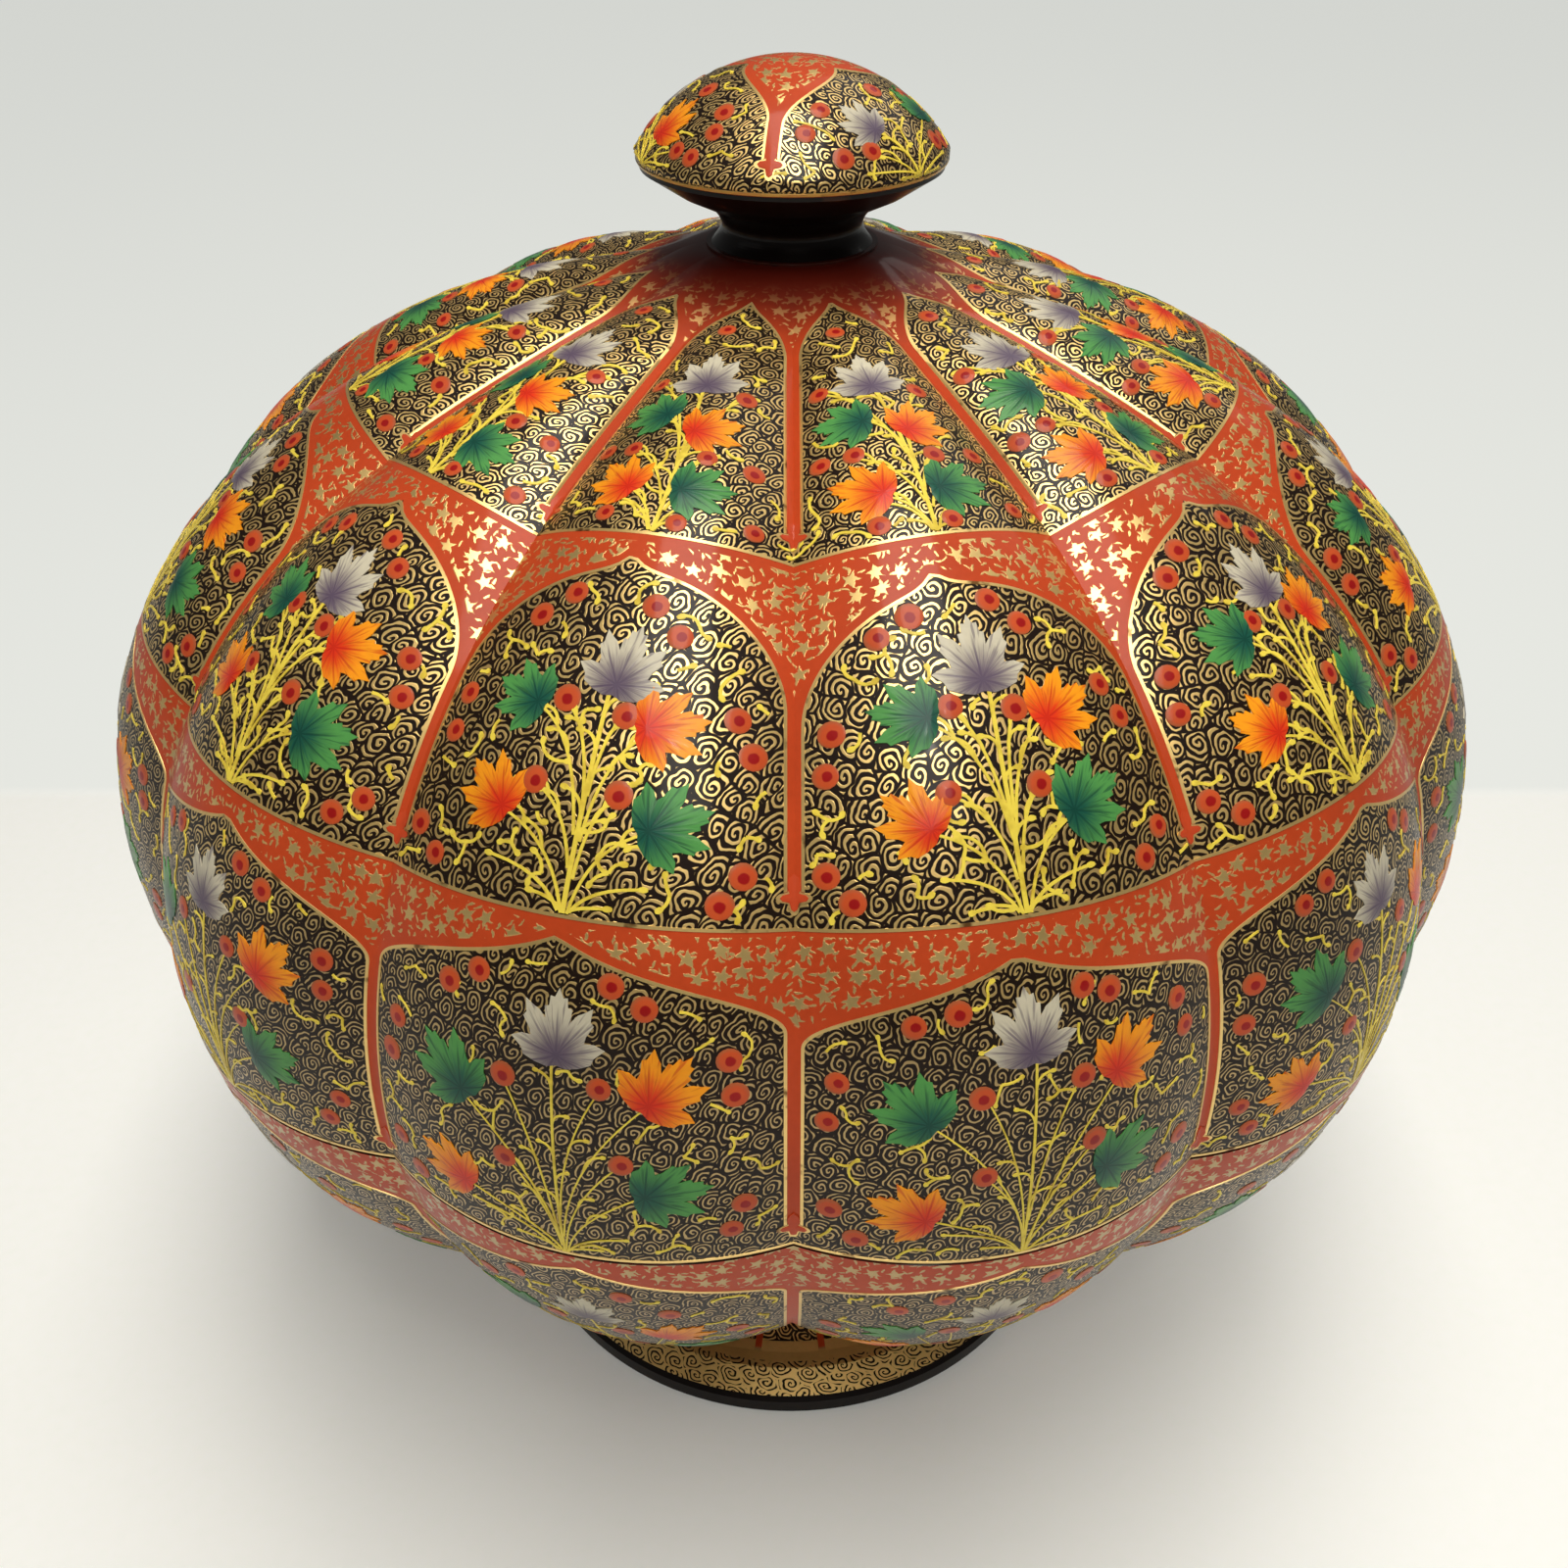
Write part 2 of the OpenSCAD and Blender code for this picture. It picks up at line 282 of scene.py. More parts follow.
def bowl_rows():
    seam_t = np.interp(-SEAM_ANGLE, -BODY["angle"], BODY["t"])
    floor_angle = -math.degrees(math.asin((BELLY_Z - FLOOR_Z) / (BOWL_DROP - WALL)))
    ledge_angle = -math.degrees(math.asin((BELLY_Z - LEDGE_Z) / (BOWL_DROP - WALL)))
    rows = [level_row(0.0, FOOT_H, INSIDE, 0.0)]
    rows += outside_rows(BODY, BODY["t"][-1], seam_t + RIM_ROUND, 86)
    rows += [level_row(SEAM_R - RIM_ROUND, SEAM_Z, RIM), level_row(COLLAR_R + 0.1, SEAM_Z, INSIDE)]
    rows += [level_row(COLLAR_R + 0.1, LEDGE_Z, INSIDE)]
    rows += inside_rows(ledge_angle, floor_angle, 12)
    return rows + [level_row(0.0, FLOOR_Z, INSIDE, 0.0)]


def cap_rows():
    rows = outside_rows(CAP, 0.0, CAP["t"][-1], 30)
    return rows + [level_row(5.1, CAP_JOINT_Z, RIM, 0.0), level_row(0.0, CAP_JOINT_Z, RIM, 0.0)]


def pattern_places(skin, rows, panel, across, t):
    """Where the scroll work and the stars are read: in tenths of a metre, shifted in each panel and row."""
    width = half_width(skin, t)
    count = skin["panels"]
    scroll_x = across * width + 31.7 * panel
    row_index = np.searchsorted([row["bottom"] for row in rows], t.mean(1))
    side = np.where(across.mean(1) > 0, 1, -1)[:, None]
    valley = (panel + (side + 1) // 2 + count // 2) % count - count // 2
    tips = np.array([row["tip"] for row in rows] + [rows[-1]["tip"]])
    tip_width = half_width(skin, tips)[row_index][:, None]
    star_x = (across - side) * width + 2 * tip_width * valley
    fine = np.array([row["fine"] for row in rows + rows[-1:]])[row_index][:, None, None]
    scroll = np.stack([scroll_x, t + 47.3 * row_index[:, None]], -1) * fine
    star = np.stack([star_x, t + 500.0], -1)
    return scroll * 0.01, star * 0.01


def shell(name, skin, rows, panel_rows, slips, columns):
    """A closed shell: a flat grid laid round the profile, with the panels' edges marked on it."""
    deselect()
    total = skin["panels"] * columns
    table = np.array(rows, float)
    bpy.ops.mesh.primitive_grid_add(x_subdivisions=total, y_subdivisions=len(rows) - 1, size=1)
    piece = bpy.context.object
    piece.name = name
    mesh = piece.data
    flat = np.empty(len(mesh.vertices) * 3)
    mesh.vertices.foreach_get("co", flat)
    flat = flat.reshape(-1, 3)
    column = np.rint((flat[:, 0] + 0.5) * total).astype(int)
    level = np.rint((flat[:, 1] + 0.5) * (len(rows) - 1)).astype(int)
    across = (column % columns) * 2 / columns - 1
    r, z, nr, nz, deep, t, _ = table[level].T
    turn = np.radians(skin["turn"] + column * 360 / total)
    inset = deep * across**2
    out = r - nr * inset
    spot = np.stack([out * np.cos(turn), out * np.sin(turn), z - nz * inset], -1)
    mesh.vertices.foreach_set("co", (spot * MM).ravel())
    mark_panels(mesh, skin, panel_rows, slips, column, columns, t, table[level][:, 6])
    mark_patterns(mesh, skin, panel_rows, column, columns, t)
    part = np.empty(len(mesh.loops), int)
    mesh.loops.foreach_get("vertex_index", part)
    part = np.maximum.reduce(table[level][:, 6][part.reshape(-1, 4)], axis=1)
    mesh.polygons.foreach_set("material_index", part.astype(int))
    close_up(piece)
    bpy.ops.object.shade_smooth_by_angle(angle=math.radians(40))
    return piece


def mark_panels(mesh, skin, panel_rows, slips, column, columns, t, part):
    value = np.full(len(column), -5.0)
    panel = np.minimum(column // columns, skin["panels"] - 1)
    across = (column - panel * columns) * 2 / columns - 1
    for index, row in enumerate(panel_rows):
        for number in range(skin["panels"]):
            mine = (part == PAINTED) & (panel == number)
            mine &= (t > row["top"]) & (t <= row["bottom"] + 2)
            gap = edge_distance(skin, row, slips[index][number], across[mine], t[mine])
            value[mine] = np.maximum(value[mine], gap)
    store = mesh.attributes.new("panel_edge", "FLOAT", "POINT")
    store.data.foreach_set("value", value)


def mark_patterns(mesh, skin, panel_rows, column, columns, t):
    corner = np.empty(len(mesh.loops), int)
    mesh.loops.foreach_get("vertex_index", corner)
    corner = corner.reshape(-1, 4)
    panel = column[corner].min(1, keepdims=True) // columns
    across = (column[corner] - panel * columns) * 2 / columns - 1
    scroll, star = pattern_places(skin, panel_rows, panel, across, t[corner])
    for name, spots in (("scrolls", scroll), ("stars", star)):
        layer = mesh.uv_layers.get(name) or mesh.uv_layers.new(name=name)
        layer.data.foreach_set("uv", spots.reshape(-1))
    spare = mesh.uv_layers.get("UVMap")
    if spare:
        mesh.uv_layers.remove(spare)


def close_up(piece):
    """Merges doubled points at the seams and poles and turns the faces outward."""
    bpy.ops.object.mode_set(mode="EDIT")
    bpy.ops.mesh.select_all(action="SELECT")
    bpy.ops.mesh.remove_doubles(threshold=0.000002)
    bpy.ops.mesh.normals_make_consistent(inside=False)
    bpy.ops.object.mode_set(mode="OBJECT")


# ---- Painted relief: leaves, berries, stems and lines ----

# Half of the leaf's edge, point by point: the angle from its tip in degrees and the distance from its root.
LEAF_EDGE = [
    (0, 1.0), (5, 0.86), (10, 0.88), (13, 0.74), (19, 0.75), (23, 0.56), (28, 0.72), (33, 0.81),
    (38, 0.97), (45, 0.8), (51, 0.8), (56, 0.6), (64, 0.52), (70, 0.68), (79, 0.84), (88, 0.64),
    (98, 0.6), (112, 0.42), (140, 0.26), (180, 0.16),
]
LEAF_WIDTH = 0.84
LEAF_SCALE = 0.94


def disc(name, sides, ring):
    """A flat closed disc with a centre point and, for a rounded top, a ring inside its edge."""
    deselect()
    bpy.ops.mesh.primitive_cylinder_add(vertices=sides, radius=1, depth=1, location=(0, 0, 0))
    piece = bpy.context.object
    piece.name = name
    for face in piece.data.polygons:
        face.select = face.normal.z > 0.9
    bpy.ops.object.mode_set(mode="EDIT")
    bpy.ops.mesh.select_mode(type="FACE")
    if ring:
        bpy.ops.mesh.inset(thickness=1 - ring)
    bpy.ops.mesh.poke()
    bpy.ops.object.mode_set(mode="OBJECT")
    return piece


def take_shape(piece):
    """The piece's points and faces, after which the piece itself goes."""
    points = np.array([v.co[:] for v in piece.data.vertices])
    faces = [list(face.vertices) for face in piece.data.polygons]
    bpy.data.objects.remove(piece)
    return points, faces


def leaf_shape():
    half = len(LEAF_EDGE) - 1
    points, faces = take_shape(disc("leaf", 2 * half, 0.5))
    reach = np.hypot(points[:, 0], points[:, 1])
    swing = np.degrees(np.arctan2(points[:, 0], points[:, 1]))
    number = np.abs(swing) * half / 180
    turn = np.sign(swing) * np.radians(np.interp(number, range(half + 1), [a for a, _ in LEAF_EDGE]))
    flat = reach * np.interp(number, range(half + 1), [d for _, d in LEAF_EDGE])
    height = np.where(points[:, 2] < 0, -0.12, np.where(reach > 0.9, 0.16, 0.32))
    return np.stack([flat * np.sin(turn) * LEAF_WIDTH, flat * np.cos(turn), height], -1), faces


def berry_shape():
    points, faces = take_shape(disc("berry", 16, 0.8))
    reach = np.hypot(points[:, 0], points[:, 1])
    height = np.where(points[:, 2] < 0, -0.15, np.where(reach > 0.9, 0.12, 0.22))
    return np.stack([points[:, 0], points[:, 1], height], -1), faces


def stamp(name, skin, shape, spots):
    """Copies a shape on to the skin. A spot is panel, across, t, heading in degrees and size in mm."""
    points, faces = shape
    spots = np.array(spots, float)
    panel, across, t, heading, size = spots.T[:, :, None]
    turn = np.radians(heading)
    right = size * (points[:, 0] * np.cos(turn) + points[:, 1] * np.sin(turn))
    up = size * (points[:, 1] * np.cos(turn) - points[:, 0] * np.sin(turn))
    where_t = t - up
    where = across + right / half_width(skin, t)
    lift = np.broadcast_to(points[:, 2], where.shape)
    cloud = place(skin, panel, where, where_t, lift)
    return joined(name, cloud, faces, points[:, :2])


def joined(name, cloud, faces, local):
    """One mesh of many copies, with each copy's own flat coordinates kept in the UV map called local."""
    copies, count, _ = cloud.shape
    mesh = bpy.data.meshes.new(name)
    every = [[corner + copy * count for corner in face] for copy in range(copies) for face in faces]
    mesh.from_pydata(cloud.reshape(-1, 3), [], every)
    piece = bpy.data.objects.new(name, mesh)
    bpy.context.scene.collection.objects.link(piece)
    corner = np.empty(len(mesh.loops), int)
    mesh.loops.foreach_get("vertex_index", corner)
    shift = (corner // count)[:, None] * 10.0
    layer = mesh.uv_layers.new(name="local")
    layer.data.foreach_set("uv", (local[corner % count] + np.hstack([shift, shift * 0])).ravel())
    deselect()
    piece.select_set(True)
    bpy.context.view_layer.objects.active = piece
    close_up(piece)
    bpy.ops.object.shade_smooth_by_angle(angle=math.radians(50))
    return piece


def strokes(name, skin, panel, x, t, half, height):
    """Raised brush strokes: x, t and half width by stroke and point, in mm from the panel's crest."""
    count, points = x.shape
    step_x = np.gradient(x, axis=1)
    step_t = np.gradient(t, axis=1)
    length = np.hypot(step_x, step_t) + 1e-9
    side_x = step_t / length
    side_t = -step_x / length
    section = [(-1.0, -0.1), (-0.86, height), (0.86, height), (1.0, -0.1)]
    layers = []
    for shift, lift in section:
        edge_x = x + side_x * half * shift
        edge_t = t + side_t * half * shift
        layers.append(place(skin, panel[:, None], edge_x / half_width(skin, t), edge_t, lift))
    cloud = np.stack(layers, 2).reshape(count, points * 4, 3)
    along = np.repeat(np.linspace(0, 1, points), 4)
    over = np.tile([s for s, _ in section], points)
    return joined(name, cloud, stroke_faces(points), np.stack([over, along], -1))


def stroke_faces(points):
    faces = [[0, 1, 2, 3], [4 * points - 1, 4 * points - 2, 4 * points - 3, 4 * points - 4]]
    for index in range(points - 1):
        for corner in range(4):
            other = (corner + 1) % 4
            low = 4 * index
            faces.append([low + corner, low + 4 + corner, low + 4 + other, low + other])
    return faces


# ---- What is painted in a panel, by across and share of the panel's height ----

# Leaves: colour, place of the root, heading in degrees and length in mm. The main stem ends in the first.
TOP_LEAVES = [
    ("white", -0.05, 0.44, -2, 11.4), ("green", -0.28, 0.57, -68, 9.8), ("orange", 0.07, 0.63, 58, 9.8),
    ("orange", -0.31, 0.85, -58, 10.2), ("green", 0.14, 0.85, 80, 10.4),
]
UPPER_LEAVES = [
    ("white", 0.03, 0.37, 3, 11.8), ("green", -0.33, 0.455, -68, 10.3),
    ("orange", 0.28, 0.49, 68, 11.0), ("orange", -0.4, 0.745, -55, 10.3),
    ("green", 0.34, 0.75, 75, 11.6),
]
LOWER_LEAVES = [
    ("white", 0.0, 0.29, -2, 12.0), ("green", -0.44, 0.47, -48, 12.0), ("orange", 0.4, 0.41, 42, 11.4),
    ("orange", -0.46, 0.8, -59, 11.0), ("green", 0.36, 0.72, 74, 12.0),
]
BOWL_LEAVES = [
    ("white", 0.0, 0.18, 0, 11.5), ("green", -0.38, 0.24, -65, 11.0), ("orange", 0.34, 0.26, 50, 11.0),
    ("orange", -0.45, 0.4, -55, 10.5), ("green", 0.4, 0.42, 55, 11.0),
    ("white", -0.36, 0.56, -45, 10.0), ("orange", 0.34, 0.6, 45, 10.0), ("green", -0.3, 0.78, -40, 9.0),
]
CAP_RIGHT = [("white", -0.22, 0.62, -40, 9.2), ("green", 0.45, 0.62, 35, 9.0)]
CAP_BACK = [("green", -0.3, 0.66, -35, 9.0), ("orange", 0.34, 0.66, 35, 9.0), ("white", 0.0, 0.45, 0, 8.6)]
CAP_LEFT = [("orange", 0.03, 0.74, 10, 9.8), ("white", -0.52, 0.6, -40, 8.8)]

TOP_BERRIES = [
    (-0.22, 0.14), (-0.74, 0.4), (0.48, 0.46), (-0.47, 0.7), (-0.78, 0.7), (0.24, 0.73), (0.66, 0.73),
    (-0.4, 0.94), (0.16, 0.95), (0.72, 0.93),
]
UPPER_BERRIES = [
    (-0.35, 0.12), (-0.53, 0.2), (0.18, 0.13), (0.34, 0.21), (-0.2, 0.43), (0.14, 0.45), (-0.82, 0.46),
    (-0.84, 0.57), (-0.26, 0.66), (0.17, 0.67), (0.72, 0.42), (0.78, 0.53), (-0.86, 0.85),
    (-0.73, 0.92), (0.78, 0.85), (0.66, 0.93),
]
LOWER_BERRIES = [
    (-0.52, 0.17), (-0.36, 0.12), (0.24, 0.09), (0.38, 0.14), (-0.22, 0.39), (0.2, 0.38), (-0.82, 0.35),
    (-0.86, 0.48), (-0.22, 0.65), (0.28, 0.61), (0.74, 0.28), (0.76, 0.38), (0.8, 0.77), (0.72, 0.86),
    (-0.84, 0.8), (-0.74, 0.9),
]
BOWL_BERRIES = [
    (-0.3, 0.07), (-0.5, 0.12), (0.2, 0.07), (0.42, 0.13), (-0.2, 0.23), (0.14, 0.24), (-0.8, 0.25),
    (-0.82, 0.33), (-0.14, 0.38), (0.12, 0.4), (0.72, 0.24), (0.8, 0.31), (-0.8, 0.5), (0.78, 0.5),
    (-0.1, 0.56), (0.12, 0.62), (-0.75, 0.66), (0.76, 0.68), (0.4, 0.76), (-0.66, 0.86), (0.66, 0.88),
]
CAP_BERRIES = [
    (-0.7, 0.39), (-0.83, 0.6), (-0.55, 0.79), (-0.35, 0.76), (0.11, 0.32), (0.55, 0.47), (0.54, 0.62),
    (0.31, 0.8), (0.47, 0.83),
]
MAIN_CURLS = (0.3, 0.42, 0.55, 0.7, 0.86)
BRANCH_CURLS = (0.5, 0.74)
ROOT_CURLS = [(-0.4, 0.88), (0.34, 0.9), (-0.2, 0.95), (0.2, 0.96)]
SPRIG_GAP = 5.7

# By row: the leaves of its panels in turn, its berries, and which of them sit on stems.
PLANS = {
    "top": ([TOP_LEAVES], TOP_BERRIES, [1, 2, 3, 5]),
    "upper": ([UPPER_LEAVES], UPPER_BERRIES, [4, 5, 8, 9]),
    "lower": ([LOWER_LEAVES], LOWER_BERRIES, [4, 5, 8, 9]),
    "bowl": ([BOWL_LEAVES], BOWL_BERRIES, [4, 5, 8, 9, 14, 15]),
    "cap": ([CAP_RIGHT, CAP_BACK, CAP_LEFT], CAP_BERRIES, [3, 7]),
}
GROUPS = {
    "lid": (BODY, BODY_ROWS[:3], BODY_SLIPS[:3]),
    "bowl": (BODY, BODY_ROWS[3:], BODY_SLIPS[3:]),
    "cap": (CAP, CAP_ROWS, CAP_SLIPS),
}


def row_t(row, share):
    return row["tip"] + share * (row["bottom"] - row["tip"])


def panels_of(group):
    """Every panel of a group: its row, number, arch slip and plan."""
    skin, rows, slips = GROUPS[group]
    for index, row in enumerate(rows):
        leaf_plans, berries_at, chosen = PLANS[row["name"]]
        for number in range(skin["panels"]):
            plan = (leaf_plans[number % len(leaf_plans)], np.array(berries_at), chosen)
            yield row, number, slips[index][number], plan


def keep_inside(skin, row, slip, across, t, margin):
    """Moves places that lie too near the panel's edge towards its middle."""
    middle = row_t(row, 0.6)
    for _ in range(14):
        near = edge_distance(skin, row, slip, across, t) < margin
        across = np.where(near, across * 0.96, across)
        t = np.where(near, t + (middle - t) * 0.04, t)
    return across, t


def clear_of_leaves(skin, row, plan, x, t):
    """Which places are not under a leaf or a berry of the plan."""
    free = np.ones(len(x), bool)
    for _, across, share, heading, size in plan[0]:
        turn = math.radians(heading)
        leaf_t = row_t(row, share)
        leaf_x = across * half_width(skin, leaf_t) + 0.5 * size * math.sin(turn)
        free &= np.hypot(x - leaf_x, t - leaf_t + 0.5 * size * math.cos(turn)) > 0.56 * size
    for across, share in plan[1]:
        berry_t = row_t(row, share)
        free &= np.hypot(x - across * half_width(skin, berry_t), t - berry_t) > 2.6
    return free


def leaf_spots(group, colour, chance):
    spots = []
    for row, number, _, plan in panels_of(group):
        for kind, across, share, heading, size in plan[0]:
            slip = chance.uniform(-1, 1, 4)
            if kind == colour:
                t = row_t(row, share + 0.008 * slip[1])
                length = LEAF_SCALE * (size + 0.5 * slip[3])
                spots.append((number, across + 0.03 * slip[0], t, heading + 9 * slip[2], length))
    return spots


def berry_spots(group, chance):
    skin = GROUPS[group][0]
    spots = []
    for row, number, slip, plan in panels_of(group):
        stray = chance.uniform(-1, 1, (len(plan[1]), 3))
        size = row["berry"] + 0.15 * stray[:, 2]
        across = plan[1][:, 0] + 0.015 * stray[:, 0]
        t = row_t(row, plan[1][:, 1] + 0.008 * stray[:, 1])
        across, t = keep_inside(skin, row, slip, across, t, 2.7)
        for index in range(len(size)):
            spots.append((number, across[index], t[index], 60 * stray[index, 2], size[index]))
    return spots


def bend(start, pull, end, along):
    """Points of quadratic curves, at the given shares of the way along each."""
    s = along[..., None]
    return (1 - s) ** 2 * start[:, None] + 2 * s * (1 - s) * pull[:, None] + s**2 * end[:, None]


def on_line(line, share):
    first, pull, end = line[:3]
    return (1 - share) ** 2 * first + 2 * share * (1 - share) * pull + share**2 * end


def stem_lines(group, chance):
    """A main stem to the first leaf, and branches beside it that arch out to leaves and berries."""
    skin = GROUPS[group][0]
    stems_found = []
    for row, number, _, plan in panels_of(group):
        middle = 0.3 * plan[0][0][1] * half_width(skin, row["bottom"])
        root = np.array([middle + chance.uniform(-0.6, 0.6), row["bottom"] - 0.5])
        ends = [leaf[1:3] for leaf in plan[0]] + [plan[1][i] for i in plan[2]]
        for index, (across, share) in enumerate(ends):
            t = row_t(row, share) + 0.3
            end = np.array([across * half_width(skin, t), t])
            rise = root[1] - t
            if index == 0:
                pull = np.array([root[0] + chance.uniform(-1.0, 1.0), t + 0.5 * rise])
                main = (root, pull, end, 0.5 * row["brush"], number, row["brush"])
                stems_found.append(main)
                continue
            out = end[0] - root[0]
            high, lean, climb = row["stem"]
            straight = max(0.0, 1 - 1.25 * abs(out) / rise)
            height = (high + 0.2 * chance.uniform(-1, 1)) * straight * rise
            fork = min(0.8, height / (root[1] - main[2][1]))
            beside = chance.uniform(0.35, 1.1) * row["brush"] * (1 - fork) * math.copysign(1, out)
            first = on_line(main, max(fork, 0.0)) + np.array([beside, 0.0])
            pull = first + np.array([lean * (end[0] - first[0]), -climb * (first[1] - t)])
            stems_found.append((first, pull, end, 0.33 * row["brush"], number, row["brush"]))
    return stems_found


def curl_lines(stems_found, group, chance):
    """Short curls that leave the stems with round ends, and a few that rise from the root."""
    skin = GROUPS[group][0]
    curls_found = []
    for line in stems_found:
        is_main = line[3] > 0.4 * line[5]
        side = chance.choice([-1, 1])
        thick = 0.33 * line[5] ** 0.7
        for share in MAIN_CURLS if is_main else BRANCH_CURLS[: 1 + (line[5] > 0.6)]:
            spot = on_line(line, share)
            side = -side if is_main else math.copysign(1, line[2][0] - line[0][0])
            reach = chance.uniform(3.4, 5.4) * line[5] ** 0.5
            over = spot + np.array([0.1 * side, -0.9]) * reach
            tip = spot + np.array([side, -0.6 - 0.4 * chance.uniform()]) * reach
            curls_found.append((spot, over, tip, thick, line[4], line[5]))
    for row, number, _, _ in panels_of(group):
        for across, share in ROOT_CURLS:
            t = row_t(row, share) + chance.uniform(-0.6, 0.6)
            x = across * half_width(skin, t) * chance.uniform(0.85, 1.1)
            first = np.array([0.07 * x, row["bottom"] - 0.8])
            pull = np.array([0.3 * x, first[1] - 0.95 * (first[1] - t)])
            thick = 0.33 * row["brush"] ** 0.7
            curls_found.append((first, pull, np.array([x, t]), thick, number, row["brush"]))
    return curls_found


def stroke_piece(name, group, found, points, blob):
    """Raised strokes from their first point, pull, end, half width and panel, with a wider round end."""
    first, pull, end, thick, panel = (np.array([line[i] for line in found]) for i in range(5))
    length = np.hypot(*(end - first).T)[:, None]
    knob = np.minimum(thick[:, None] * blob, 0.3 * length)
    near = 2 * knob / length
    body = np.linspace(0, 1, points - 4)[None] * (1 - near)
    along = np.hstack([body, 1 - near * np.array([[0.78, 0.5, 0.2, 0.0]])])
    path = bend(first, pull, end, along)
    round_end = np.sqrt(np.maximum(knob**2 - ((1 - along) * length - knob) ** 2, 0))
    half = np.maximum(thick[:, None] * (1.1 - 0.2 * along), round_end)
    half[:, -1] = 0.45 * knob[:, 0]
    return strokes(name, GROUPS[group][0], panel, path[:, :, 0], path[:, :, 1], half, 0.14)


def sprig_places(skin, row, slip, plan, near_stems, chance):
    """Free places strewn evenly over a panel, off its leaves, berries, stems and edge."""
    across = chance.uniform(-0.96, 0.96, 500)
    t = chance.uniform(row["tip"] + 2, row["bottom"] - 2, 500)
    x = across * half_width(skin, t)
    free = clear_of_leaves(skin, row, plan, x, t)
    free &= edge_distance(skin, row, slip, across, t) > 1.7
    spots = np.stack([x, t], -1)[free]
    to_stem = np.hypot(*(spots[:, None] - near_stems[None]).T).min(0)
    spots = spots[to_stem > 1.5 + 3 * (0.9 - row["brush"])]
    chosen = []
    gap = SPRIG_GAP + 2.5 * (1 - row["brush"])
    for spot in spots:
        if all(np.hypot(*(spot - other)) > gap for other in chosen):
            chosen.append(spot)
    return chosen


def sprig_lines(group, stems_found, chance):
    """Small forked sprigs with round ends, strewn between the leaves and kept off the panel's edge."""
    skin = GROUPS[group][0]
    sprigs_found = []
    for row, number, slip, plan in panels_of(group):
        mine = [line for line in stems_found if line[4] == number]
        shares = np.linspace(0, 1, 12)
        near_stems = np.array([on_line(line, share) for line in mine for share in shares])
        arms = []
        for spot in sprig_places(skin, row, slip, plan, near_stems, chance):
            heading = chance.uniform(0, 360)
            for turn in (0, 125, 230)[: chance.integers(2, 4)]:
                angle = math.radians(heading + turn + chance.uniform(-25, 25))
                tip = np.array([math.sin(angle), math.cos(angle)]) * chance.uniform(2.2, 4.4)
                side = np.array([tip[1], -tip[0]]) * chance.uniform(-0.6, 0.6)
                thick = 0.34 * row["brush"] ** 0.6
                arms.append((spot, spot + tip * 0.5 + side, spot + tip, thick, number, row["brush"]))
        tips = np.array([arm[2] for arm in arms])
        across = tips[:, 0] / half_width(skin, tips[:, 1])
        clear = edge_distance(skin, row, slip, across, tips[:, 1]) > 0.9
        clear &= clear_of_leaves(skin, row, plan, tips[:, 0], tips[:, 1])
        sprigs_found += [arm for arm, fits in zip(arms, clear) if fits]
    return sprigs_found


def panel_lines(name, skin, rows, slips, chosen):
    """Gold lines up the stripes and over the arches of the panels."""
    x, t, panel = [], [], []
    for index in chosen:
        for number in range(skin["panels"]):
            across, line_t = outline(skin, rows[index], slips[index][number], 56)
            x.append(across * half_width(skin, line_t))
            t.append(line_t)
            panel.append(number)
    half = np.full((len(x), len(x[0])), LINE_HALF)
    return strokes(name, skin, np.array(panel), np.array(x), np.array(t), half, 0.1)


def ring_lines(name, skin, levels):
    """Gold lines round the body between the rows of panels."""
    across = np.linspace(-1, 1, 33)
    x, t, panel = [], [], []
    for level in levels:
        for number in range(skin["panels"]):
            x.append(across * half_width(skin, level))
            t.append(np.full(len(across), level))
            panel.append(number)
    half = np.full((len(x), len(across)), LINE_HALF)
    return strokes(name, skin, np.array(panel), np.array(x), np.array(t), half, 0.1)


def finial_shape(top, reach_up):
    """The small cross with blunt arms that ends a stripe. Its upper arm lies in the stripe."""
    points, faces = take_shape(disc("finial", 24, 0.55))
    reach = np.hypot(points[:, 0], points[:, 1])
    turn = np.arctan2(points[:, 0], points[:, 1])
    edge = 0.48 + 0.52 * np.abs(np.cos(2 * turn)) ** 2.4
    edge = np.where(np.abs(turn) < math.pi / 4, edge * reach_up, edge)
    height = np.where(points[:, 2] < 0, -0.12, np.where(reach > 0.9, top, top + 0.05))
    return np.stack([reach * edge * np.sin(turn), reach * edge * np.cos(turn), height], -1), faces


def finial_spots(rows, count, chosen, size):
    spots = []
    for index in chosen:
        for number in range(count):
            spots.append((number, -1.0, rows[index]["bottom"] - FINIAL_RISE, 0, size))
    return spots


# ---- Node helpers ----


def srgb(red, green, blue):
    """A colour as it is read off a screen, from 0 to 255, turned to the shader's own scale."""
    parts = (red, green, blue)
    return tuple(((v / 255 + 0.055) / 1.055) ** 2.4 if v > 10 else v / 3294 for v in parts) + (1.0,)


def put(tree, kind, **settings):
    item = tree.nodes.new(kind)
    for name, value in settings.items():
        setattr(item, name, value)
    return item


def feed(tree, socket, source):
    if isinstance(source, bpy.types.NodeSocket):
        tree.links.new(source, socket)
    else:
        socket.default_value = source


def calc(tree, operation, *sources, clamp=False):
    item = put(tree, "ShaderNodeMath", operation=operation, use_clamp=clamp)
    for socket, source in zip(item.inputs, sources):
        feed(tree, socket, source)
    return item.outputs[0]


def flip(tree, value):
    return calc(tree, "SUBTRACT", 1.0, value)


def vector_calc(tree, operation, *sources, out="Vector"):
    item = put(tree, "ShaderNodeVectorMath", operation=operation)
    for socket, source in zip(item.inputs, sources):
        feed(tree, socket, source)
    return item.outputs[out]


